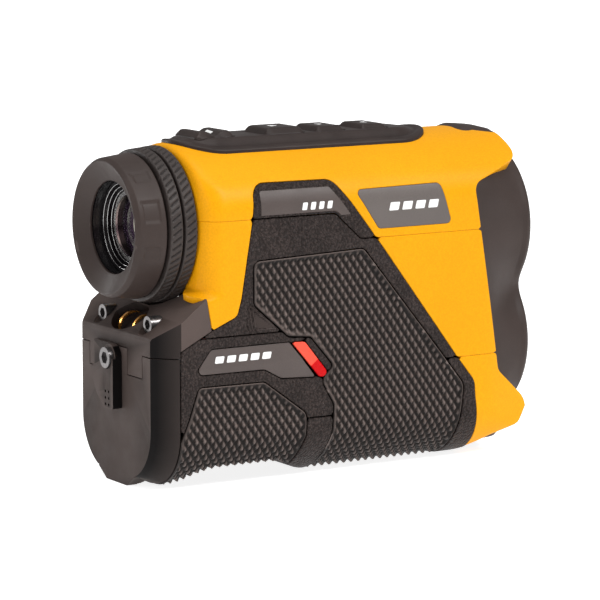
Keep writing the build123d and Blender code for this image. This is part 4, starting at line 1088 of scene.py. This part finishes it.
def dress_cad_nodes():
    """Every CAD piece that still shows gets its slot's material, and the outer ones softened edges;
    the door's, block's and latch's side faces get a second, near-black material that is painted shade.
    """
    slots = {part["node"]: part["material_slot"] for part in frame["record"]["subparts"]}
    for name, piece in nodes.items():
        piece.data.materials.clear()
        piece.data.materials.append(FINISHES[slots[name]])
        if name in ("battery_door", "rear_block", "door_latch"):
            piece.data.materials.append(SIDE_SHADE)
        for polygon in piece.data.polygons:
            x, y, z = polygon.normal
            # Painted shade: the faces picked here get the near-black second material.
            shaded_side = abs(y) > 0.5 if name == "door_latch" else -0.95 < x < -0.25 and abs(y) > 0.3 and z < 0.3
            polygon.material_index = int(shaded_side and len(piece.data.materials) > 1)
        if name in SOFT_EDGES:
            bevel = piece.modifiers.new("edges", "BEVEL")
            bevel.width = SOFT_EDGES[name] * MM
            bevel.segments = 3
            bevel.limit_method = "ANGLE"
            bevel.angle_limit = math.radians(32)
            bevel.harden_normals = True
            bevel.use_clamp_overlap = True


def extruded(name, outline, y0, y1, material, body):
    """A bar along Y from a rounded (x, z, corner radius) outline."""
    line = rounded(outline)
    count = len(line)
    points = np.array([(x, y, z) for y in (y0, y1) for x, z in line])
    faces = [list(range(count)), list(range(2 * count - 1, count - 1, -1))]
    faces += [[i, i + count, (i + 1) % count + count, (i + 1) % count] for i in range(count)]
    return make_piece(name, points, faces, material, body, ())


def build_hinge():
    """The fixed ear between the door's knuckles, and the housing's edge behind the door's upper seam."""
    ear = [(-56.9, 0.6, 1.85), (-56.9, 4.4, 1.85), (-51.0, 4.4, 0.2), (-51.0, 1.3, 0.2), (-53.2, 0.6, 0.2)]
    extruded("hinge_ear", ear, -3.0, 3.0, MOULDED, "housing")
    edge = [(-52.15, 33.0, 0.2), (-52.15, 37.6, 0.2), (-50.5, 37.6, 0.2), (-50.5, 33.0, 0.2)]
    extruded("housing_edge", edge, -24.5, 24.5, CELL_BLACK, "housing")


# --- camera, floor and lights ---

CAMERA_AZIMUTH = -31.5
CAMERA_ELEVATION = 8.5
CAMERA_DISTANCE = 900.0
SCALE_AT_TARGET = 3.64
TARGET = (0.0, 0.0, 45.0)
SENSOR_WIDTH = 36.0
IMAGE_PIXELS = 600
SHIFT_PIXELS = (-1.5, -1.2)
FLOOR_HALF = 8
WORLD_STRENGTH = 0.30
OVERHEAD_STRENGTH = 1.5
KEY_STRENGTH = 1.9


def direction(azimuth, elevation):
    """A unit vector from the target: azimuth 0 is the right side, seen along +Y."""
    a, e = math.radians(azimuth), math.radians(elevation)
    return Vector((math.sin(a) * math.cos(e), -math.cos(a) * math.cos(e), math.sin(e)))


def build_camera():
    data = bpy.data.cameras.new("camera")
    data.sensor_width = SENSOR_WIDTH
    data.lens = SCALE_AT_TARGET * CAMERA_DISTANCE * SENSOR_WIDTH / IMAGE_PIXELS
    data.shift_x, data.shift_y = (shift / IMAGE_PIXELS for shift in SHIFT_PIXELS)
    data.clip_start, data.clip_end = 0.01, 50
    camera = placed("camera", data)
    back = direction(CAMERA_AZIMUTH, CAMERA_ELEVATION)
    camera.location = (Vector(TARGET) + back * CAMERA_DISTANCE) * MM
    camera.rotation_euler = back.to_track_quat("Z", "Y").to_euler()
    bpy.context.scene.camera = camera


def area_light(name, azimuth, elevation, distance_mm, size, power):
    data = bpy.data.lights.new(name, "AREA")
    data.shape = "RECTANGLE"
    data.size, data.size_y = size
    data.energy = power
    light = placed(name, data)
    way = direction(azimuth, elevation)
    light.location = (Vector(TARGET) + way * distance_mm) * MM
    light.rotation_euler = way.to_track_quat("Z", "Y").to_euler()


def sun_light(name, azimuth, elevation, strength, spread):
    """A distant light, even over the whole floor; spread is its width in degrees."""
    data = bpy.data.lights.new(name, "SUN")
    data.energy = strength
    data.angle = math.radians(spread)
    light = placed(name, data)
    light.rotation_euler = direction(azimuth, elevation).to_track_quat("Z", "Y").to_euler()


def build_stage():
    mesh = bpy.data.meshes.new("floor")
    half = FLOOR_HALF
    corners = [(-half, -half, 0), (half, -half, 0), (half, half, 0), (-half, half, 0)]
    mesh.from_pydata(corners, [], [(0, 1, 2, 3)])
    mesh.materials.append(make_material(
        "floor_paper", (0.60, 0.60, 0.60), dark=0.99, light=1.01, rough=(0.7, 0.8), patch=200, grain=2.0,
        grain_depth=0.01, Emission_Color=(1, 1, 1, 1), Emission_Strength=0.85))
    floor = placed("floor", mesh)
    world = bpy.data.worlds.new("studio")
    world.use_nodes = True
    background = world.node_tree.nodes["Background"]
    background.inputs["Color"].default_value = (1, 1, 1, 1)
    background.inputs["Strength"].default_value = WORLD_STRENGTH
    bpy.context.scene.world = world
    sun_light("overhead", 20, 84, OVERHEAD_STRENGTH, 50)
    sun_light("key", 30, 42, KEY_STRENGTH, 14)
    area_light("glint", -75, 30, 700, (0.25, 0.45), 0.9)
    area_light("eye_glint", -146, 14, 420, (0.05, 0.16), 0.28)
    bpy.context.scene.view_settings.view_transform = "Standard"


build_camera()
dress_cad_nodes()
build_shells()
build_grips()
build_pads()
build_inlays()
build_bezel()
build_eyepiece()
build_keypad()
build_hinge()
build_stage()
